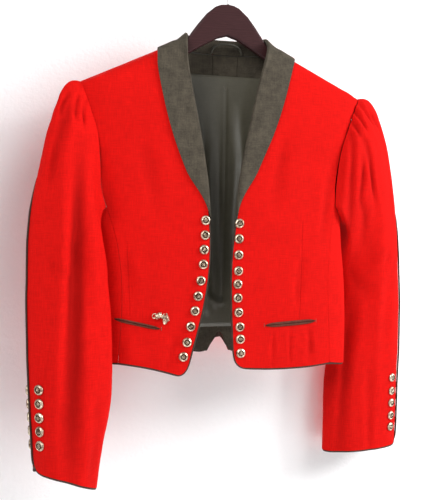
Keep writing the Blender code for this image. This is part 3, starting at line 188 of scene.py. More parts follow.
# The notch in the back's hem: its middle, and how far its foot is widened and lowered.
NOTCH_MIDDLE, NOTCH_WIDENING, NOTCH_LOWERING = .0035, .0055, .0045
# Where the collar's ends start to narrow, and the height of the slices that find its front edge.
COLLAR_TAPER_TOP, COLLAR_SLICE = -.300, .004
# How much fuller than the CAD's the piping is, and over what length its upper ends sink into the sleeves.
PIPING_GROWTH, PIPING_RUN_OUT = .00062, .045

# The buttons: how the rim's top is inset, as (inwards, upwards), and the ring that the petals' middles lie on.
BUTTON_COUNT = 40
BUTTON_PROFILE = [(.0002, .0006), (.0006, .0007), (.0008, .0006), (.0006, .0002), (.0003, -.0003), (.0002, -.0004),
                  (.0012, .0002), (.0012, .0002)]
PETAL_RING = .0019
# The charms: x and z from the cluster's lower corner, the lift off the cloth, then each kind's size and turns.
CHARM_DISCS = [
    (.0105, .0140, .0022, 1.10, (84, 12, 10)), (.0150, .0120, .0034, .80, (70, 30, 60)),
    (.0215, .0125, .0020, .90, (60, 62, 15)), (.0222, .0098, .0026, .90, (58, 50, 35)),
    (.0210, .0070, .0022, .95, (66, 40, 55)), (.0186, .0046, .0024, .90, (72, 24, 95)),
    (.0070, .0130, .0030, .75, (74, -34, 5)),
]
CHARM_RINGS = [
    (.0040, .0132, .0020, .0030, .0006, (80, 0, 20)), (.0075, .0120, .0014, .0026, .0006, (60, 50, 0)),
    (.0180, .0086, .0034, .0024, .0005, (40, 20, 40)),
]
CHARM_BEADS = [
    (.0028, .0105, .0016, .0012), (.0055, .0158, .0014, .0013), (.0128, .0165, .0016, .0012),
    (.0165, .0150, .0014, .0011), (.0165, .0060, .0014, .0012), (.0205, .0155, .0014, .0013),
    (.0236, .0070, .0014, .0011),
]
# Runs of tacks: the piece's node, both ends as (x, z), and the number of stitches.
TACKS = [
    ("back_lining", (.0052, -.1690), (.0085, -.1755), 3), ("back_lining", (.0118, -.1690), (.0085, -.1755), 3),
    ("back_hem_facing", (.0015, -.5235), (.0058, -.5235), 2), ("front_right", (-.0965, -.5090), (-.0965, -.5140), 3),
    ("front_left", (.1278, -.5030), (.1278, -.5085), 3), ("front_left", (.0478, -.5072), (.0478, -.5125), 3),
]

# The stage. Lights: name, place, what they aim at, size and power.
LIGHTS = [
    ("key", (2.0, -.85, .55), (0, 0, -.38), 1.0, 66), ("fill", (-1.25, -1.5, .75), (0, 0, -.4), 1.1, 36),
    ("wall_light", (1.2, -1.5, 1.2), (0, 0, -.4), 1.6, 42), ("back", (.5, 2.2, .7), (0, 0, -.35), 1.5, 22),
]
ROOM_LIGHT = .45
WALL_Y, FLOOR_Z, PLANE_SIZE = .078, -1.35, 8
# The photo's view: azimuth, elevation and roll in degrees, then the distance from the target.
CAMERA_TURNS, CAMERA_DISTANCE, CAMERA_TARGET = (-14.68, 2.37, .88), 1.0, Vector((-.0129, 0, -.4076))
CAMERA_LENS, CAMERA_SENSOR = 50.54, 36


# ---- the cloth's form

def torso_out(co):
    """Outward directions of the torso at the points."""
    z = co[:, 2]
    at = [np.interp(-z, -TORSO[:, 0], TORSO[:, k]) for k in range(1, 5)]
    dx, dy = (co[:, 0] - at[0]) / at[1], co[:, 1] / np.where(co[:, 1] < 0, at[2], at[3])
    power = TORSO_ROUNDNESS - 1
    out = np.stack([np.sign(dx) * np.abs(dx) ** power / at[1],
                    np.sign(dy) * np.maximum(np.abs(dy), .25) ** power / np.where(co[:, 1] < 0, at[2], at[3]),
                    np.zeros(len(z))], 1)
    return out / np.maximum(np.linalg.norm(out, axis=1), 1e-9)[:, None]


def sleeve_out(side):
    """A function that gives the outward directions of one sleeve at the points."""
    table = SLEEVES[side]

    def out(co):
        z = co[:, 2]
        at = [np.interp(-z, -table[:, 0], table[:, k]) for k in range(1, 5)]
        vec = np.stack([(co[:, 0] - at[0]) / at[2] ** 2, (co[:, 1] - at[1]) / at[3] ** 2,
                        np.maximum(z + .225, 0) * 500], 1)
        return vec / np.maximum(np.linalg.norm(vec, axis=1), 1e-9)[:, None]
    return out


def outward(region):
    """The function that gives a region's outward directions."""
    return sleeve_out(region.split("_")[1]) if region.startswith("sleeve") else torso_out


def crease_depth(co, crease, seed):
    """How far one crease pushes the cloth in at the points, in metres."""
    depth, half, (start, end), line = crease
    pts = np.array(line)
    p = co[:, [0, 2]]
    lengths = np.linalg.norm(np.diff(pts, axis=0), axis=1)
    along0 = np.concatenate([[0], np.cumsum(lengths)])
    best, where = np.full(len(p), 1e9), np.zeros(len(p))
    for k, length in enumerate(lengths):
        a, b = pts[k], pts[k + 1]
        t = np.clip(((p - a) @ (b - a)) / length ** 2, 0, 1)
        d = np.linalg.norm(p - (a + t[:, None] * (b - a)), axis=1)
        near = d < best
        best, where = np.where(near, d, best), np.where(near, along0[k] + t * length, where)
    s = where / along0[-1]
    ends = np.interp(s, [0, .3, .7, 1], [start, 1, 1, end])
    ends *= 1 + .18 * np.sin(9 * s + 2.3 * seed)
    wide = half / 1000 * (1 + .22 * np.sin(6.1 * s + 1.7 * seed))
    t = best / wide
    shape = np.where(t < 1, np.cos(np.clip(t, 0, 1) * np.pi / 2) ** 2, 0)
    shape -= .2 * np.exp(-((t - 1.35) / .4) ** 2)
    return depth / 1000 * ends * shape


def hand(co, size):
    """The cloth's slight unevenness, in metres."""
    x, y, z = co.T
    return size * (np.sin(47 * x + 31 * z + 1.1) + .8 * np.sin(83 * z - 29 * x + 60 * y + 2)
                   + .6 * np.sin(131 * x + 57 * z + 4.2) + .5 * np.sin(173 * z + 97 * x - 1.3)) / 2.9


def pressed(co, region):
    """The points after the region's creases have moved them."""
    out = outward(region)(co)
    total = hand(co, SLEEVE_UNEVENNESS if region.startswith("sleeve") else TORSO_UNEVENNESS)
    for face, creases in REGIONS[region].items():
        turn = out[:, 1] if face == "back" else -out[:, 1]
        faces = np.clip(turn * 3.2, 0, 1)
        for k, crease in enumerate(creases):
            total += crease_depth(co, crease, k) * faces * bpy.context.scene.jacket.crease_depth
    if region == "lining":
        total = np.minimum(np.abs(total) * 1.5, LINING_FORWARD_LIMIT) * np.sign(total) + LINING_SLACK
        return co - np.array([0, 1, 0]) * np.maximum(total, -LINING_SLACK)[:, None]
    if region == "torso":
        total = np.where(out[:, 1] > .1, np.minimum(total, BACK_INWARD_LIMIT), total)
    return co - out * total[:, None]


def coords(mesh):
    co = np.empty(len(mesh.vertices) * 3)
    mesh.vertices.foreach_get("co", co)
    return co.reshape(-1, 3)


def store(ob, co):
    """Writes the points back to the piece's mesh."""
    ob.data.vertices.foreach_set("co", co.ravel())
    ob.data.update()


def press(ob, region, whole=False):
    """Moves a piece's vertices with the creases of its region, or the whole piece at its middle."""
    co = coords(ob.data)
    if whole:
        middle = (co.min(0) + co.max(0))[None] / 2
        store(ob, co + (pressed(middle, region) - middle))
        return
    moved = pressed(co, region)
    # The materials paint shade into the troughs' colour by their depth, which is kept with each vertex.
    fold = ob.data.attributes.new("Fold", "FLOAT", "POINT")
    fold.data.foreach_set("value", np.sum((co - moved) * outward(region)(co), 1).astype(np.float32))
    store(ob, moved)


# ---- helpers for pieces

def only(ob):
    """Makes ob the one selected and active object."""
    bpy.ops.object.select_all(action="DESELECT")
    ob.hide_viewport = False
    ob.select_set(True)
    bpy.context.view_layer.objects.active = ob


def mode(name):
    bpy.ops.object.mode_set(mode=name)


def apply_modifier(ob, name, kind, **settings):
    only(ob)
    modifier = ob.modifiers.new(name, kind)
    for key, value in settings.items():
        setattr(modifier, key, value)
    bpy.ops.object.modifier_apply(modifier=modifier.name)


def from_node(node, name):
    """A copy of a CAD node with merged vertices and quads, as a piece of its own."""
    if node not in NODES:
        raise RuntimeError(f"the CAD model has no node {node}")
    ob = bpy.data.objects.new(name, NODES[node].data.copy())
    ob.data.name = name
    bpy.context.scene.collection.objects.link(ob)
    ob.data.materials.clear()
    only(ob)
    mode("EDIT")
    bpy.ops.mesh.select_all(action="SELECT")
    bpy.ops.mesh.remove_doubles(threshold=1e-6)
    bpy.ops.mesh.tris_convert_to_quads(face_threshold=math.radians(50), shape_threshold=math.radians(120))
    bpy.ops.mesh.normals_make_consistent(inside=False)
    mode("OBJECT")
    return ob


def smooth_cloth(ob, levels, sharp=40, through=True):
    """Creases the cloth's cut edges and subdivides the rest."""
    only(ob)
    mode("EDIT")
    bpy.ops.mesh.select_mode(type="EDGE")
    bpy.ops.mesh.select_all(action="DESELECT")
    bpy.ops.mesh.edges_select_sharp(sharpness=math.radians(sharp))
    bpy.ops.transform.edge_crease(value=1)
    mode("OBJECT")
    if through:
        # The smoothed surface is made to pass through the CAD's own points.
        trial = ob.modifiers.new("Trial", "SUBSURF")
        trial.levels = levels
        bpy.context.view_layer.update()
        own = coords(ob.data)
        smooth = coords(ob.evaluated_get(bpy.context.evaluated_depsgraph_get()).data)[:len(own)]
        ob.modifiers.remove(trial)
        store(ob, own * 2 - smooth)
    apply_modifier(ob, "Cloth", "SUBSURF", levels=levels, render_levels=levels)


def shade(ob, angle=40):
    only(ob)
    bpy.ops.object.shade_smooth_by_angle(angle=math.radians(angle))


def finish(ob, slot_name, material, *nodes):
    """Gives a piece its material and body, and lets it stand for its CAD nodes; slot_name is not used."""
    if material is not None:
        ob.data.materials.append(material)
    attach(ob, "root")
    if nodes:
        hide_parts(*nodes)
    return ob


def line_inside(ob, out):
    """Gives the faces that look to the inside the lining's material."""
    ob.data.materials.append(MATERIALS["lining"])
    mesh = ob.data
    count = len(mesh.polygons)
    centre, normal = np.empty(count * 3), np.empty(count * 3)
    mesh.polygons.foreach_get("center", centre)
    mesh.polygons.foreach_get("normal", normal)
    centre, normal = centre.reshape(-1, 3), normal.reshape(-1, 3)
    inside = (np.sum(out(centre) * normal, 1) < -.25).astype(np.int32)
    mesh.polygons.foreach_set("material_index", inside)
    mesh.update()


def join(name, objects):
    """Joins two or more objects into one piece with its origin at the frame's origin."""
    bpy.ops.object.select_all(action="DESELECT")
    for ob in objects:
        ob.select_set(True)
    bpy.context.view_layer.objects.active = objects[0]
    bpy.ops.object.transform_apply(location=True, rotation=True, scale=True)
    bpy.ops.object.join()
    ob = bpy.context.view_layer.objects.active
    ob.name = ob.data.name = name
    return ob


def turned(name, sides, radius, first, steps):
    """A round part on the XY plane: a low cylinder whose top is inset by each (inwards, upwards) in turn."""
    bpy.ops.mesh.primitive_cylinder_add(vertices=sides, radius=radius, depth=first, location=(0, 0, first / 2))
    ob = bpy.context.active_object
    ob.name = ob.data.name = name
    bpy.ops.object.transform_apply(location=True, rotation=True, scale=True)
    mode("EDIT")
    bpy.ops.mesh.select_mode(type="FACE")
    bpy.ops.mesh.select_all(action="DESELECT")
    mode("OBJECT")
    for face in ob.data.polygons:
        face.select = face.normal.z > .9
    mode("EDIT")
    for inwards, upwards in steps:
        bpy.ops.mesh.inset(thickness=inwards, depth=upwards)
    mode("OBJECT")
    return ob


def copy_mesh(source, name, matrix):
    ob = bpy.data.objects.new(name, source.data.copy())
    ob.data.name = name
    bpy.context.scene.collection.objects.link(ob)
    ob.data.transform(matrix)
    ob.data.update()
    return ob


# ---- materials

def add(tree, kind, links=None, **settings):
    """Adds a shader node, sets its properties, and links or sets its inputs."""
    made = tree.nodes.new("ShaderNode" + kind)
    for key, value in settings.items():
        setattr(made, key, value)
    for key, value in (links or {}).items():
        if isinstance(value, bpy.types.NodeSocket):
            tree.links.new(value, made.inputs[key])
        else:
            made.inputs[key].default_value = value
    return made


def math_node(tree, operation, a, b=0.0, clamp=False):
    return add(tree, "Math", {0: a, 1: b}, operation=operation, use_clamp=clamp).outputs[0]


def times(tree, a, b):
    return math_node(tree, "MULTIPLY", a, b)


def plus(tree, a, b):
    return math_node(tree, "ADD", a, b)


def blend_colours(tree, factor, a, b):
    return add(tree, "Mix", {0: factor, 6: a, 7: b}, data_type="RGBA").outputs[2]


def noise(tree, vector, scale, detail=3.0, rough=.55):
    made = add(tree, "TexNoise", {"Vector": vector, "Scale": scale, "Detail": detail, "Roughness": rough})
    return made.outputs["Fac"]


def spread(tree, value, low, high, to_low=0.0, to_high=1.0):
    return add(tree, "MapRange", {0: value, 1: low, 2: high, 3: to_low, 4: to_high}, clamp=True).outputs[0]


def scaled(tree, vector, factors):
    return add(tree, "VectorMath", {0: vector, 1: factors}, operation="MULTIPLY").outputs[0]


def new_group(name, inputs, outputs):
    tree = bpy.data.node_groups.new(name, "ShaderNodeTree")
    for label, kind, value in inputs:
        tree.interface.new_socket(label, in_out="INPUT", socket_type="NodeSocket" + kind).default_value = value
    for label, kind in outputs:
        tree.interface.new_socket(label, in_out="OUTPUT", socket_type="NodeSocket" + kind)
    return tree, tree.nodes.new("NodeGroupInput").outputs, tree.nodes.new("NodeGroupOutput").inputs


def thread_group():
    """Crossing threads of a plain weave, with thicker threads here and there."""
    tree, given, made = new_group("Woven Threads", [("Pitch", "Float", .0006), ("Slubs", "Float", .5)],
                                  [("Height", "Float"), ("Tone", "Float")])
    at = add(tree, "SeparateXYZ", {0: add(tree, "TexCoord").outputs["Object"]}).outputs
    facing = add(tree, "SeparateXYZ", {0: add(tree, "NewGeometry").outputs["Normal"]}).outputs
    sideways = math_node(tree, "GREATER_THAN", math_node(tree, "ABSOLUTE", facing[0]), .72)
    across = add(tree, "Mix", {0: sideways, 2: at[0], 3: at[1]}, data_type="FLOAT").outputs[0]
    turn = math_node(tree, "DIVIDE", 2 * math.pi, given["Pitch"])
    warp = math_node(tree, "SINE", times(tree, across, turn))
    weft = math_node(tree, "SINE", times(tree, at[2], turn))
    weave = times(tree, warp, weft)
    plane = add(tree, "CombineXYZ", {0: across, 2: at[2]}).outputs[0]
    upright = noise(tree, scaled(tree, plane, (900, 1, 60)), 1.0, 2)
    level = noise(tree, scaled(tree, plane, (60, 1, 900)), 1.0, 2)
    slub = plus(tree, upright, level)
    tree.links.new(spread(tree, slub, .7, 1.3), made["Tone"])
    rough = times(tree, slub, given["Slubs"])
    tree.links.new(plus(tree, times(tree, weave, .5), rough), made["Height"])
    return tree


def wear_group():
    """Soft patches in two sizes, as from wear and fading."""
    tree, given, made = new_group("Worn Patches", [("Size", "Float", .03), ("Contrast", "Float", 1.0)],
                                  [("Mask", "Float")])
    place = add(tree, "TexCoord").outputs["Object"]
    scale = math_node(tree, "DIVIDE", 1.0, given["Size"])
    finer = times(tree, scale, 5.3)
    big = add(tree, "TexNoise", {"Vector": place, "Scale": scale, "Detail": 3.0}).outputs["Fac"]
    small = add(tree, "TexNoise", {"Vector": place, "Scale": finer, "Detail": 4.0}).outputs["Fac"]
    both = plus(tree, times(tree, big, .6), times(tree, small, .4))
    off = times(tree, math_node(tree, "SUBTRACT", both, .5), given["Contrast"])
    mask = add(tree, "Math", {0: off, 1: 2.6, 2: .5}, operation="MULTIPLY_ADD", use_clamp=True).outputs[0]
    tree.links.new(mask, made["Mask"])
    return tree


def seam_group():
    """A fine line between two points, seen along Y."""
    tree, given, made = new_group(
        "Seam Line", [("Start", "Vector", (0, 0, 0)), ("End", "Vector", (0, 0, 1)), ("Width", "Float", .001)],
        [("Mask", "Float")])
    flat = (1, 0, 1)
    place = scaled(tree, add(tree, "TexCoord").outputs["Object"], flat)
    start, end = scaled(tree, given["Start"], flat), scaled(tree, given["End"], flat)
    line = add(tree, "VectorMath", {0: end, 1: start}, operation="SUBTRACT").outputs[0]
    to = add(tree, "VectorMath", {0: place, 1: start}, operation="SUBTRACT").outputs[0]
    dot = add(tree, "VectorMath", {0: to, 1: line}, operation="DOT_PRODUCT").outputs["Value"]
    own = add(tree, "VectorMath", {0: line, 1: line}, operation="DOT_PRODUCT").outputs["Value"]
    share = math_node(tree, "DIVIDE", dot, own, clamp=True)
    foot = add(tree, "VectorMath", {0: line, "Scale": share}, operation="SCALE").outputs[0]
    away = add(tree, "VectorMath", {0: to, 1: foot}, operation="DISTANCE").outputs["Value"]
    far = math_node(tree, "DIVIDE", away, given["Width"])
    tree.links.new(math_node(tree, "SUBTRACT", 1.0, far, clamp=True), made["Mask"])
    return tree


def grain_group():
    """Long wood grain along X with slightly wavy rings."""
    tree, given, made = new_group("Wood Grain", [("Density", "Float", 1.0)], [("Tone", "Float"), ("Height", "Float")])
    place = add(tree, "TexCoord").outputs["Object"]
    long = scaled(tree, place, (9, 120, 120))
    dense = add(tree, "VectorMath", {0: long, "Scale": given["Density"]}, operation="SCALE").outputs[0]
    wave = {"Vector": dense, "Scale": 1.1, "Distortion": 14.0, "Detail": 4.0, "Detail Scale": .8}
    rings = add(tree, "TexWave", wave, wave_type="BANDS", bands_direction="Z").outputs["Fac"]
    pores = noise(tree, scaled(tree, place, (90, 1600, 1600)), 1.0, 2)
    tone = plus(tree, times(tree, rings, .3), times(tree, pores, .7))
    tree.links.new(tone, made["Tone"])
    tree.links.new(pores, made["Height"])
    return tree


GROUPS = {}


def call(tree, name, **values):
    made = add(tree, "Group")
    made.node_tree = GROUPS[name]
    for key, value in values.items():
        made.inputs[key].default_value = value
    return made.outputs


def new_material(name, **constants):
    material = bpy.data.materials.new(name)
    material.use_nodes = True
    tree = material.node_tree
    surface = tree.nodes["Principled BSDF"]
    for key, value in constants.items():
        surface.inputs[key.replace("_", " ")].default_value = value
    return material, tree, surface


def bump(tree, surface, height, distance, strength=1.0):
    made = add(tree, "Bump", {"Height": height, "Distance": distance, "Strength": strength})
    tree.links.new(made.outputs[0], surface.inputs["Normal"])


def darker(colour, share):
    return tuple(c * share for c in colour[:3]) + (1,)


def cloth_material(name, colour, pitch, patch, low, high, rough, bump_height, lines=(), line_width=.0012,
                   groove_shade_share=.3, patch_share=.6, fold_shade_share=0.0, **constants):
    """Woven cloth: two tones by wear and thread, weave and fine sewn grooves in the bump, and painted shade in the
    sewn lines and the troughs.
    """
    material, tree, surface = new_material(name, Roughness=rough, **constants)
    threads = call(tree, "Woven Threads", Pitch=pitch)
    patches = call(tree, "Worn Patches", Size=patch)["Mask"]
    tone = plus(tree, times(tree, patches, patch_share), times(tree, threads["Tone"], 1 - patch_share))
    base = blend_colours(tree, tone, darker(colour, low), darker(colour, high))
    height = threads["Height"]
    sewn = None
    for start, end in lines:
        mask = call(tree, "Seam Line", Start=(start[0], 0, start[1]), End=(end[0], 0, end[1]),
                    Width=line_width)["Mask"]
        sewn = mask if sewn is None else math_node(tree, "MAXIMUM", sewn, mask)
    # Painted shade: the sewn lines darken the base colour as shade in their grooves; they also sink the bump.
    if sewn is not None:
        base = blend_colours(tree, times(tree, sewn, groove_shade_share), base, darker(colour, .25))
        height = math_node(tree, "SUBTRACT", height, times(tree, sewn, 3.0))
    # Painted shade: the base colour darkens with each trough's stored depth.
    fold = add(tree, "Attribute", attribute_name="Fold").outputs["Fac"]
    base = blend_colours(tree, spread(tree, fold, *FOLD_SHADE_DEPTHS, 0, fold_shade_share), base, darker(colour, .3))
    tree.links.new(base, surface.inputs["Base Color"])
    bump(tree, surface, height, bump_height)
    return material


def metal_material(name, colour, dark, rough):
    material, tree, surface = new_material(name, Metallic=1.0)
    patches = call(tree, "Worn Patches", Size=.004, Contrast=1.6)["Mask"]
    tree.links.new(blend_colours(tree, patches, colour, dark), surface.inputs["Base Color"])
    tree.links.new(spread(tree, patches, 0, 1, rough, rough + .22), surface.inputs["Roughness"])
    bump(tree, surface, patches, .00012)
    return material


MATERIALS = {}


def make_materials(looks):
    """Every shared group and material, once."""
    GROUPS.update({"Woven Threads": thread_group(), "Worn Patches": wear_group(),
                   "Seam Line": seam_group(), "Wood Grain": grain_group()})
    red, olive, lining = tuple(looks.red), tuple(looks.olive), tuple(looks.lining)
    # The red cloth's troughs and darts carry painted shade.
    MATERIALS["red"] = cloth_material(
        "Red Cloth", red, looks.weave_pitch, patch=.05, low=.80, high=1.20, rough=.82, bump_height=.00016, lines=DARTS,
        line_width=.0008, groove_shade_share=.2, patch_share=.3, fold_shade_share=.62, Specular_IOR_Level=.04)
    MATERIALS["olive"] = cloth_material(
        "Olive Trim", olive, looks.weave_pitch * 1.3, patch=.012, low=.45, high=1.65, rough=.8, bump_height=.00025,
        lines=FACING_SEAMS, line_width=.0009, Specular_IOR_Level=.15)
    MATERIALS["lining"] = cloth_material(
        "Green Lining", lining, looks.weave_pitch * .6, patch=.03, low=.8, high=1.2, rough=.36, bump_height=.00004,
        Specular_IOR_Level=.7)
    MATERIALS["piping"] = cloth_material(
        "Brown Piping", tuple(looks.piping), .0009, patch=.01, low=.6, high=1.3, rough=.6, bump_height=.0002,
        Specular_IOR_Level=.2)
    # The pocket mouths' slits are painted shade.
    MATERIALS["mouth"] = cloth_material(
        "Pocket Mouth", tuple(looks.mouth), .0009, patch=.012, low=.5, high=1.5, rough=.6, bump_height=.0003,
        lines=POCKET_SLITS, line_width=.0009, groove_shade_share=.8, Specular_IOR_Level=.1)
    MATERIALS["loop"] = cloth_material(
        "Loop Cloth", darker(lining, .8), .0007, patch=.006, low=.7, high=1.3, rough=.55, bump_height=.0001)
    MATERIALS["thread"] = cloth_material(
        "Pale Thread", darker(olive, 2.6), .0003, patch=.004, low=.8, high=1.2, rough=.7, bump_height=.00005)
    MATERIALS["metal"] = metal_material("Pale Brass", tuple(looks.metal), darker(looks.recess, 1.6), .28)
    MATERIALS["recess"] = metal_material("Tarnished Recess", tuple(looks.recess), darker(looks.recess, .4), .42)
    MATERIALS["wire"] = metal_material("Steel Wire", tuple(looks.wire), darker(looks.wire, .7), .22)
    material, tree, surface = new_material("Dark Wood", Coat_Weight=.08, Coat_Roughness=.25, Specular_IOR_Level=.2)
    grain = call(tree, "Wood Grain")
    wood = tuple(looks.wood)
    tone = blend_colours(tree, grain["Tone"], darker(wood, .55), darker(wood, 1.5))
    tree.links.new(tone, surface.inputs["Base Color"])
    tree.links.new(spread(tree, grain["Tone"], 0, 1, .34, .5), surface.inputs["Roughness"])
    bump(tree, surface, grain["Height"], .00006)
    MATERIALS["wood"] = material


# ---- settings

def colour_setting(name, description, value):
    return bpy.props.FloatVectorProperty(name=name, description=description, default=value, subtype="COLOR",
                                         size=4, min=0, max=1)


class JacketSettings(bpy.types.PropertyGroup):
    red: colour_setting("Red", "Colour of the jacket's cloth", (.57, .0056, .0042, 1))
    olive: colour_setting("Olive", "Colour of the collar and its facing", (.060, .050, .036, 1))
    lining: colour_setting("Lining", "Colour of the satin lining", (.086, .078, .055, 1))
    piping: colour_setting("Piping", "Colour of the piping", (.050, .026, .018, 1))
    mouth: colour_setting("Pocket mouth", "Colour of the pocket mouths' lips", (.125, .038, .024, 1))
    metal: colour_setting("Brass", "Colour of the buttons' and charms' metal", (1.0, .86, .66, 1))
    recess: colour_setting("Recess", "Colour of the tarnish in the buttons' relief", (.085, .042, .024, 1))
    wood: colour_setting("Wood", "Colour of the hanger's wood", (.036, .0115, .0125, 1))
    wire: colour_setting("Wire", "Colour of the hook's steel", (.62, .60, .58, 1))
    wall: colour_setting("Wall", "Colour of the wall and the floor", (.93, .925, .93, 1))
    crease_depth: bpy.props.FloatProperty(name="Crease depth", description="Share of the creases' depth", default=1.5,
                                          min=0, max=2.5, subtype="FACTOR")
    weave_pitch: bpy.props.FloatProperty(name="Weave pitch", description="Distance between the red cloth's threads",
                                         default=.0011, min=.0003, max=.003, precision=4, unit="LENGTH")
    petals: bpy.props.IntProperty(name="Petals", description="Petals in each button's relief", default=7, min=3,
                                  max=10)


# ---- pieces

class Step:
    """One step of the build. The shared materials are made before the first."""

    def execute(self, context):
        if not MATERIALS:
            make_materials(context.scene.jacket)
        self.build(context.scene)
        return {"FINISHED"}


def cloth(node, levels, region=None, slot="red_wool", material="red", name=None, angle=40, sharp=40,
          reshape=None):
    """Builds a piece from its CAD node: smoothed, reshaped, pressed with its region, shaded and finished."""
    ob = from_node(node, name or "cloth_" + node)
    smooth_cloth(ob, levels, sharp)
    if reshape:
        reshape(ob)
    if region:
        press(ob, region)
    shade(ob, angle)
    return finish(ob, slot, MATERIALS[material], node)


def open_notch(ob):
    """Widens the foot of the notch in the back's hem, and lowers its two corners a little."""
    co = coords(ob.data)
    away = co[:, 0] - NOTCH_MIDDLE
    reach = np.abs(away)
    behind = co[:, 1] > .015
    low = np.clip((-.527 - co[:, 2]) / .030, 0, 1)
    near = np.clip(1 - reach / .045, 0, 1) * behind * (reach > .0004)
    co[:, 0] += np.sign(away) * NOTCH_WIDENING * low * np.minimum(near * 1.6, 1)
    foot = np.clip(reach / .010, 0, 1) * np.clip((.034 - reach) / .018, 0, 1) * behind
    co[:, 2] -= NOTCH_LOWERING * np.clip((-.535 - co[:, 2]) / .018, 0, 1) * foot
    store(ob, co)


def taper_collar(ob):
    """Narrows the collar's lower ends to points at the front edges."""
    co = coords(ob.data)
    for sign in (-1, 1):
        mine = np.sign(co[:, 0]) == sign
        # The front edge is found as a smooth curve through the innermost points of each low slice.
        levels, edges = [], []
        for low in np.arange(-.3575, COLLAR_TAPER_TOP + .001, COLLAR_SLICE):
            row = mine & (co[:, 2] >= low) & (co[:, 2] < low + COLLAR_SLICE)
            if row.any():
                levels.append(low + COLLAR_SLICE / 2)
                edges.append(sign * np.abs(co[row, 0]).min())
        row = mine & (co[:, 2] < COLLAR_TAPER_TOP)
        edge = np.polyval(np.polyfit(levels, edges, 2), co[row, 2])
        share = np.clip((COLLAR_TAPER_TOP - co[row, 2]) / .0565, 0, 1)
        co[row, 0] = edge + (co[row, 0] - edge) * (1 - .9 * share ** 1.8)
        co[row, 2] -= .006 * share ** 3
    store(ob, co)


def lower_hem(ob):
    """Lets the lining's lower hem reach a little way over the facing."""
    co = coords(ob.data)
    co[:, 2] -= .0014 * np.clip((-.5190 - co[:, 2]) / .0018, 0, 1)
    store(ob, co)


class JACKET_OT_panels(Step, bpy.types.Operator):
    """Builds the fronts, the side panels and the back"""
    bl_idname = "jacket.panels"
    bl_label = "Panels"

    def build(self, scene):
        for node, levels in (("front_right", 3), ("front_left", 3), ("side_right", 3), ("side_left", 3), ("back", 2)):
            ob = cloth(node, levels, "torso", reshape=open_notch if node == "back" else None)
            line_inside(ob, torso_out)


class JACKET_OT_sleeves(Step, bpy.types.Operator):
    """Builds the sleeves with their gathered heads"""
    bl_idname = "jacket.sleeves"
    bl_label = "Sleeves"

    def build(self, scene):
        for side in ("right", "left"):
            node = "sleeve_" + side
            line_inside(cloth(node, 2, node), sleeve_out(side))


class JACKET_OT_collar(Step, bpy.types.Operator):
    """Builds the collar and the facings at the back's neck and hem"""
    bl_idname = "jacket.collar"
    bl_label = "Collar and Facings"

    def build(self, scene):
        cloth("collar", 2, "torso", "olive_trim", "olive", reshape=taper_collar)
        cloth("back_neck_facing", 3, None, "olive_trim", "olive")
        ob = cloth("back_hem_facing", 3, None, "olive_trim", "olive", reshape=open_notch)
        ob.data.materials.append(MATERIALS["piping"])
        for face in ob.data.polygons:
            face.material_index = int(face.normal.z > .6)


class JACKET_OT_lining(Step, bpy.types.Operator):
    """Builds the back's satin lining and the hanger loop"""
    bl_idname = "jacket.lining"
    bl_label = "Lining and Loop"

    def build(self, scene):
        cloth("back_lining", 3, "lining", "green_lining", "lining", angle=60, reshape=lower_hem)
        cloth("hanger_loop", 2, None, "green_lining", "loop", "loop_band", 60, 60)


class JACKET_OT_piping(Step, bpy.types.Operator):
    """Builds the piping along the edges, the sleeve seams and the cuffs"""
    bl_idname = "jacket.piping"
    bl_label = "Piping"

    def build(self, scene):
        for node, region in (("edge_piping", "torso"), ("sleeve_piping_right", "sleeve_right"),
                             ("sleeve_piping_left", "sleeve_left")):
            ob = from_node(node, "cord_" + node)
            smooth_cloth(ob, 2, 100, through=False)
            apply_modifier(ob, "Full", "DISPLACE", strength=PIPING_GROWTH, mid_level=0)
            if node == "edge_piping":
                open_notch(ob)
            press(ob, region)
            if node != "edge_piping":
                # The upper end runs out into the sleeve's seam.
                co = coords(ob.data)
                sunk = np.clip((co[:, 2] - co[:, 2].max() + PIPING_RUN_OUT) / PIPING_RUN_OUT, 0, 1) * .0024
                store(ob, co - outward(region)(co) * sunk[:, None])
            shade(ob, 70)
            finish(ob, "brown_piping", MATERIALS["piping"], node)


class JACKET_OT_pockets(Step, bpy.types.Operator):
    """Builds the piped pocket mouths"""
    bl_idname = "jacket.pockets"
    bl_label = "Pockets"

    def build(self, scene):
        for side in ("right", "left"):
            cloth("pocket_" + side, 2, "torso", "brown_piping", "mouth")


def button_model(looks):
    """One button on the XY plane: a bright rim, a dark field and a small flower in relief."""
    base = turned("button_rim", 28, .0066, .0007, BUTTON_PROFILE)
    base.data.materials.append(MATERIALS["metal"])
    base.data.materials.append(MATERIALS["recess"])
    for face in base.data.polygons:
        centre = face.center
        if face.normal.z > .2 and math.hypot(centre.x, centre.y) < .0042 and centre.z > .0009:
            face.material_index = 1
    parts = [base]
    for k in range(looks.petals):
        angle = 2 * math.pi * k / looks.petals
        bpy.ops.mesh.primitive_uv_sphere_add(
            segments=8, ring_count=6, radius=1,
            location=(PETAL_RING * math.cos(angle), PETAL_RING * math.sin(angle), .00225))
        petal = bpy.context.active_object
        petal.scale = (.00095, .00055, .00055)
        petal.rotation_euler = (0, 0, angle)
        petal.data.materials.append(MATERIALS["metal"])
        parts.append(petal)
    bpy.ops.mesh.primitive_uv_sphere_add(segments=10, ring_count=6, radius=1, location=(0, 0, .0026))
    heart = bpy.context.active_object
    heart.scale = (.00085, .00085, .0007)
    heart.data.materials.append(MATERIALS["metal"])
    parts.append(heart)
    return join("button_model", parts)


def node_axis(node, away):
    """The middle of a flat CAD node's base and its outward axis."""
    co = np.unique(np.round(coords(NODES[node].data), 7), axis=0)
    middle = co.mean(0)
    _, vectors = np.linalg.eigh(np.cov((co - middle).T))
    axis = vectors[:, 0]
    if axis @ away < 0:
        axis = -axis
    along = (co - middle) @ axis
    return Vector(middle + axis * along.min()), Vector(axis)


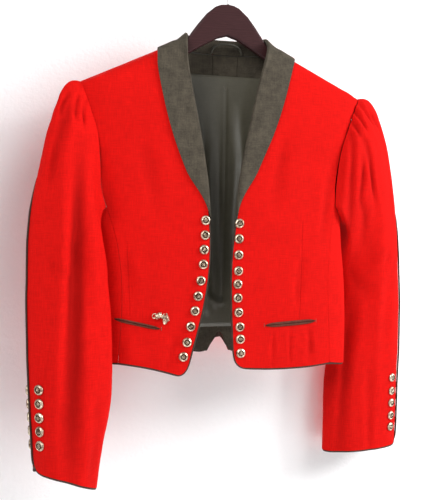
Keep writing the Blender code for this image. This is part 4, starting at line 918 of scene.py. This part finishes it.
class JACKET_OT_buttons(Step, bpy.types.Operator):
    """Builds the buttons on the fronts and the cuffs"""
    bl_idname = "jacket.buttons"
    bl_label = "Buttons"

    def build(self, scene):
        model = button_model(scene.jacket)
        shade(model, 35)
        names = sorted(n for n in NODES if "_button_" in n)
        if len(names) != BUTTON_COUNT:
            raise RuntimeError(f"{BUTTON_COUNT} buttons are expected, and the CAD model has {len(names)}")
        for k, node in enumerate(names):
            region = "torso"
            if node.startswith("cuff"):
                region = "sleeve_" + ("right" if "_right_" in node else "left")
            away = outward(region)(coords(NODES[node].data).mean(0)[None])[0]
            base, axis = node_axis(node, away)
            turn = axis.to_track_quat("Z", "Y").to_matrix().to_4x4()
            spin = Matrix.Rotation(.7 * k + .4 * math.sin(5 * k), 4, "Z")
            ob = copy_mesh(model, "button_" + node.replace("_button", ""), Matrix.Translation(base) @ turn @ spin)
            press(ob, region, whole=True)
            finish(ob, "pale_brass", None, node)
        bpy.data.objects.remove(model, do_unlink=True)


class JACKET_OT_charms(Step, bpy.types.Operator):
    """Builds the cluster of small rings, beads and discs at the right pocket"""
    bl_idname = "jacket.charms"
    bl_label = "Charms"

    def build(self, scene):
        low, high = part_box("charms")
        corner = Vector((low.x, high.y - .0016, low.z))
        disc = turned("disc", 20, .0034, .0006, [(.0003, .0002), (.0006, 0), (.0003, -.0003), (.0010, .0004)])
        disc.data.materials.append(MATERIALS["metal"])
        parts = [disc]
        for x, z, lift, size, turn in CHARM_DISCS:
            matrix = Matrix.Translation(corner + Vector((x, -lift, z)))
            for angle, axis in zip(turn[::-1], "YZX"):
                matrix = matrix @ Matrix.Rotation(math.radians(angle), 4, axis)
            parts.append(copy_mesh(disc, "disc_copy", matrix @ Matrix.Scale(size, 4)))
        disc.data.transform(Matrix.Translation(corner + Vector((.0190, -.0012, .0100)))
                            @ Matrix.Rotation(math.radians(88), 4, "X"))
        for x, z, lift, big, thin, turn in CHARM_RINGS:
            bpy.ops.mesh.primitive_torus_add(
                major_radius=big, minor_radius=thin, major_segments=20, minor_segments=8,
                location=corner + Vector((x, -lift, z)), rotation=[math.radians(a) for a in turn])
            parts.append(bpy.context.active_object)
        for x, z, lift, size in CHARM_BEADS:
            bpy.ops.mesh.primitive_uv_sphere_add(segments=12, ring_count=8, radius=size,
                                                 location=corner + Vector((x, -lift, z)))
            parts.append(bpy.context.active_object)
        for part in parts[len(CHARM_DISCS) + 1:]:
            part.data.materials.append(MATERIALS["metal"])
        ob = join("charm_cluster", parts)
        press(ob, "torso", whole=True)
        shade(ob, 40)
        finish(ob, "pale_brass", None, "charms")


class JACKET_OT_hanger(Step, bpy.types.Operator):
    """Builds the wooden hanger and its wire hook"""
    bl_idname = "jacket.hanger"
    bl_label = "Hanger"

    def build(self, scene):
        ob = from_node("hanger", "wood_hanger")
        mode("EDIT")
        bpy.ops.mesh.select_all(action="SELECT")
        bpy.ops.mesh.dissolve_limited(angle_limit=math.radians(2))
        mode("OBJECT")
        apply_modifier(ob, "Soft edges", "BEVEL", width=.0016, segments=3, limit_method="ANGLE",
                       angle_limit=math.radians(50))
        shade(ob, 35)
        apply_modifier(ob, "Even", "WEIGHTED_NORMAL", keep_sharp=True, weight=100)
        finish(ob, "dark_wood", MATERIALS["wood"], "hanger")
        cloth("hook", 2, None, "steel_wire", "wire", "wire_hook", 60, 60)


class JACKET_OT_stitching(Step, bpy.types.Operator):
    """Builds the small tacks on the lining, the facings and the pockets"""
    bl_idname = "jacket.stitching"
    bl_label = "Stitching"

    def build(self, scene):
        bpy.context.view_layer.update()
        parts = []
        for name, start, end, count in TACKS:
            base = bpy.data.objects["cloth_" + name]
            for k in range(count):
                ends = []
                for share in ((k + .12) / count, (k + .88) / count):
                    x, z = (a + (b - a) * share for a, b in zip(start, end))
                    hit, place, normal, _ = base.ray_cast(Vector((x, -.3, z)), Vector((0, 1, 0)))
                    if not hit:
                        raise RuntimeError(f"a stitch at {x:.3f}, {z:.3f} misses {name}")
                    ends.append(place + normal * .00015)
                way = ends[1] - ends[0]
                bpy.ops.mesh.primitive_uv_sphere_add(
                    segments=8, ring_count=6, radius=1, location=(ends[0] + ends[1]) / 2,
                    rotation=way.to_track_quat("Z", "Y").to_euler())
                stitch = bpy.context.active_object
                stitch.scale = (.0003, .0003, way.length / 2 + .0002)
                parts.append(stitch)
        ob = join("tacks", parts)
        shade(ob, 60)
        finish(ob, "olive_trim", MATERIALS["thread"])


class JACKET_OT_cloth_facts(Step, bpy.types.Operator):
    bl_idname = "jacket.cloth_facts"
    bl_label = "Cloth Facts"

    def build(self, scene):
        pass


class JACKET_OT_stage(Step, bpy.types.Operator):
    """Sets up the wall, the floor, the lights and the camera"""
    bl_idname = "jacket.stage"
    bl_label = "Stage"

    def build(self, scene):
        wall_colour = tuple(scene.jacket.wall)
        bpy.ops.mesh.primitive_plane_add(size=PLANE_SIZE, location=(0, WALL_Y, 0), rotation=(math.radians(90), 0, 0))
        wall = bpy.context.active_object
        wall.name = "stage_wall"
        bpy.ops.mesh.primitive_plane_add(size=PLANE_SIZE, location=(0, -2, FLOOR_Z))
        floor = bpy.context.active_object
        floor.name = "stage_floor"
        material, tree, surface = new_material("Pale Wall", Roughness=.9)
        surface.inputs["Base Color"].default_value = wall_colour
        grit = noise(tree, add(tree, "TexCoord").outputs["Object"], 170, 4)
        bump(tree, surface, grit, .0012, .5)
        # The wall is clear from behind and to all but the camera, so that it doesn't tint or darken the part.
        unseen = math_node(tree, "SUBTRACT", 1.0, add(tree, "LightPath").outputs["Is Camera Ray"])
        behind = math_node(tree, "MAXIMUM", add(tree, "NewGeometry").outputs["Backfacing"], unseen)
        clear = add(tree, "BsdfTransparent").outputs[0]
        mixed = add(tree, "MixShader", {0: behind, 1: surface.outputs[0], 2: clear})
        tree.links.new(mixed.outputs[0], tree.nodes["Material Output"].inputs[0])
        wall.data.materials.append(material)
        ground, _, ground_surface = new_material("Pale Floor", Roughness=.9)
        ground_surface.inputs["Base Color"].default_value = wall_colour
        floor.data.materials.append(ground)
        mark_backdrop(wall, floor)

        for name, place, aim, size, power in LIGHTS:
            bpy.ops.object.light_add(type="AREA", location=place)
            light = bpy.context.active_object
            light.name = "stage_" + name
            light.data.size, light.data.energy = size, power
            light.rotation_euler = (Vector(aim) - Vector(place)).to_track_quat("-Z", "Y").to_euler()
            lights_only = {"fill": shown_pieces(), "wall_light": [wall, floor]}.get(name)
            if lights_only:
                lit = bpy.data.collections.new("lit_by_" + name)
                for piece in lights_only:
                    lit.objects.link(piece)
                light.light_linking.receiver_collection = lit
            light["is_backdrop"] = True
        world = bpy.data.worlds.new("Soft Room") if scene.world is None else scene.world
        scene.world = world
        world.use_nodes = True
        world.node_tree.nodes["Background"].inputs[0].default_value = (1, 1, 1, 1)
        world.node_tree.nodes["Background"].inputs[1].default_value = ROOM_LIGHT

        camera = bpy.data.objects.new("camera", bpy.data.cameras.new("camera"))
        scene.collection.objects.link(camera)
        azimuth, elevation, roll = (math.radians(turn) for turn in CAMERA_TURNS)
        level = math.cos(elevation)
        back = Vector((math.sin(azimuth) * level, -math.cos(azimuth) * level, math.sin(elevation)))
        camera.location = CAMERA_TARGET + back * CAMERA_DISTANCE
        camera.rotation_euler = ((-back).to_track_quat("-Z", "Y") @ Quaternion((0, 0, 1), roll)).to_euler()
        camera.data.sensor_width = CAMERA_SENSOR
        camera.data.lens = CAMERA_LENS
        scene.camera = camera
        scene.view_settings.view_transform = "Standard"


class JACKET_PT_panel(bpy.types.Panel):
    """Lists the jacket's settings and steps"""
    bl_idname = "JACKET_PT_panel"
    bl_label = "Trachten Jacket"
    bl_space_type = "VIEW_3D"
    bl_region_type = "UI"
    bl_category = "Jacket"

    def draw(self, context):
        column = self.layout.column()
        for key in JacketSettings.__annotations__:
            column.prop(context.scene.jacket, key)
        for step in STEPS:
            column.operator(step.bl_idname)


STEPS = (JACKET_OT_panels, JACKET_OT_sleeves, JACKET_OT_collar, JACKET_OT_lining, JACKET_OT_piping,
         JACKET_OT_pockets, JACKET_OT_buttons, JACKET_OT_charms, JACKET_OT_hanger, JACKET_OT_stitching,
         JACKET_OT_cloth_facts, JACKET_OT_stage)
CLASSES = (JacketSettings, *STEPS, JACKET_PT_panel)


def register():
    for cls in CLASSES:
        bpy.utils.register_class(cls)
    bpy.types.Scene.jacket = bpy.props.PointerProperty(type=JacketSettings)


def unregister():
    del bpy.types.Scene.jacket
    for cls in reversed(CLASSES):
        bpy.utils.unregister_class(cls)


def main():
    register()
    for step in STEPS:
        group, name = step.bl_idname.split(".")
        getattr(getattr(bpy.ops, group), name)()


if __name__ == "__main__":
    main()
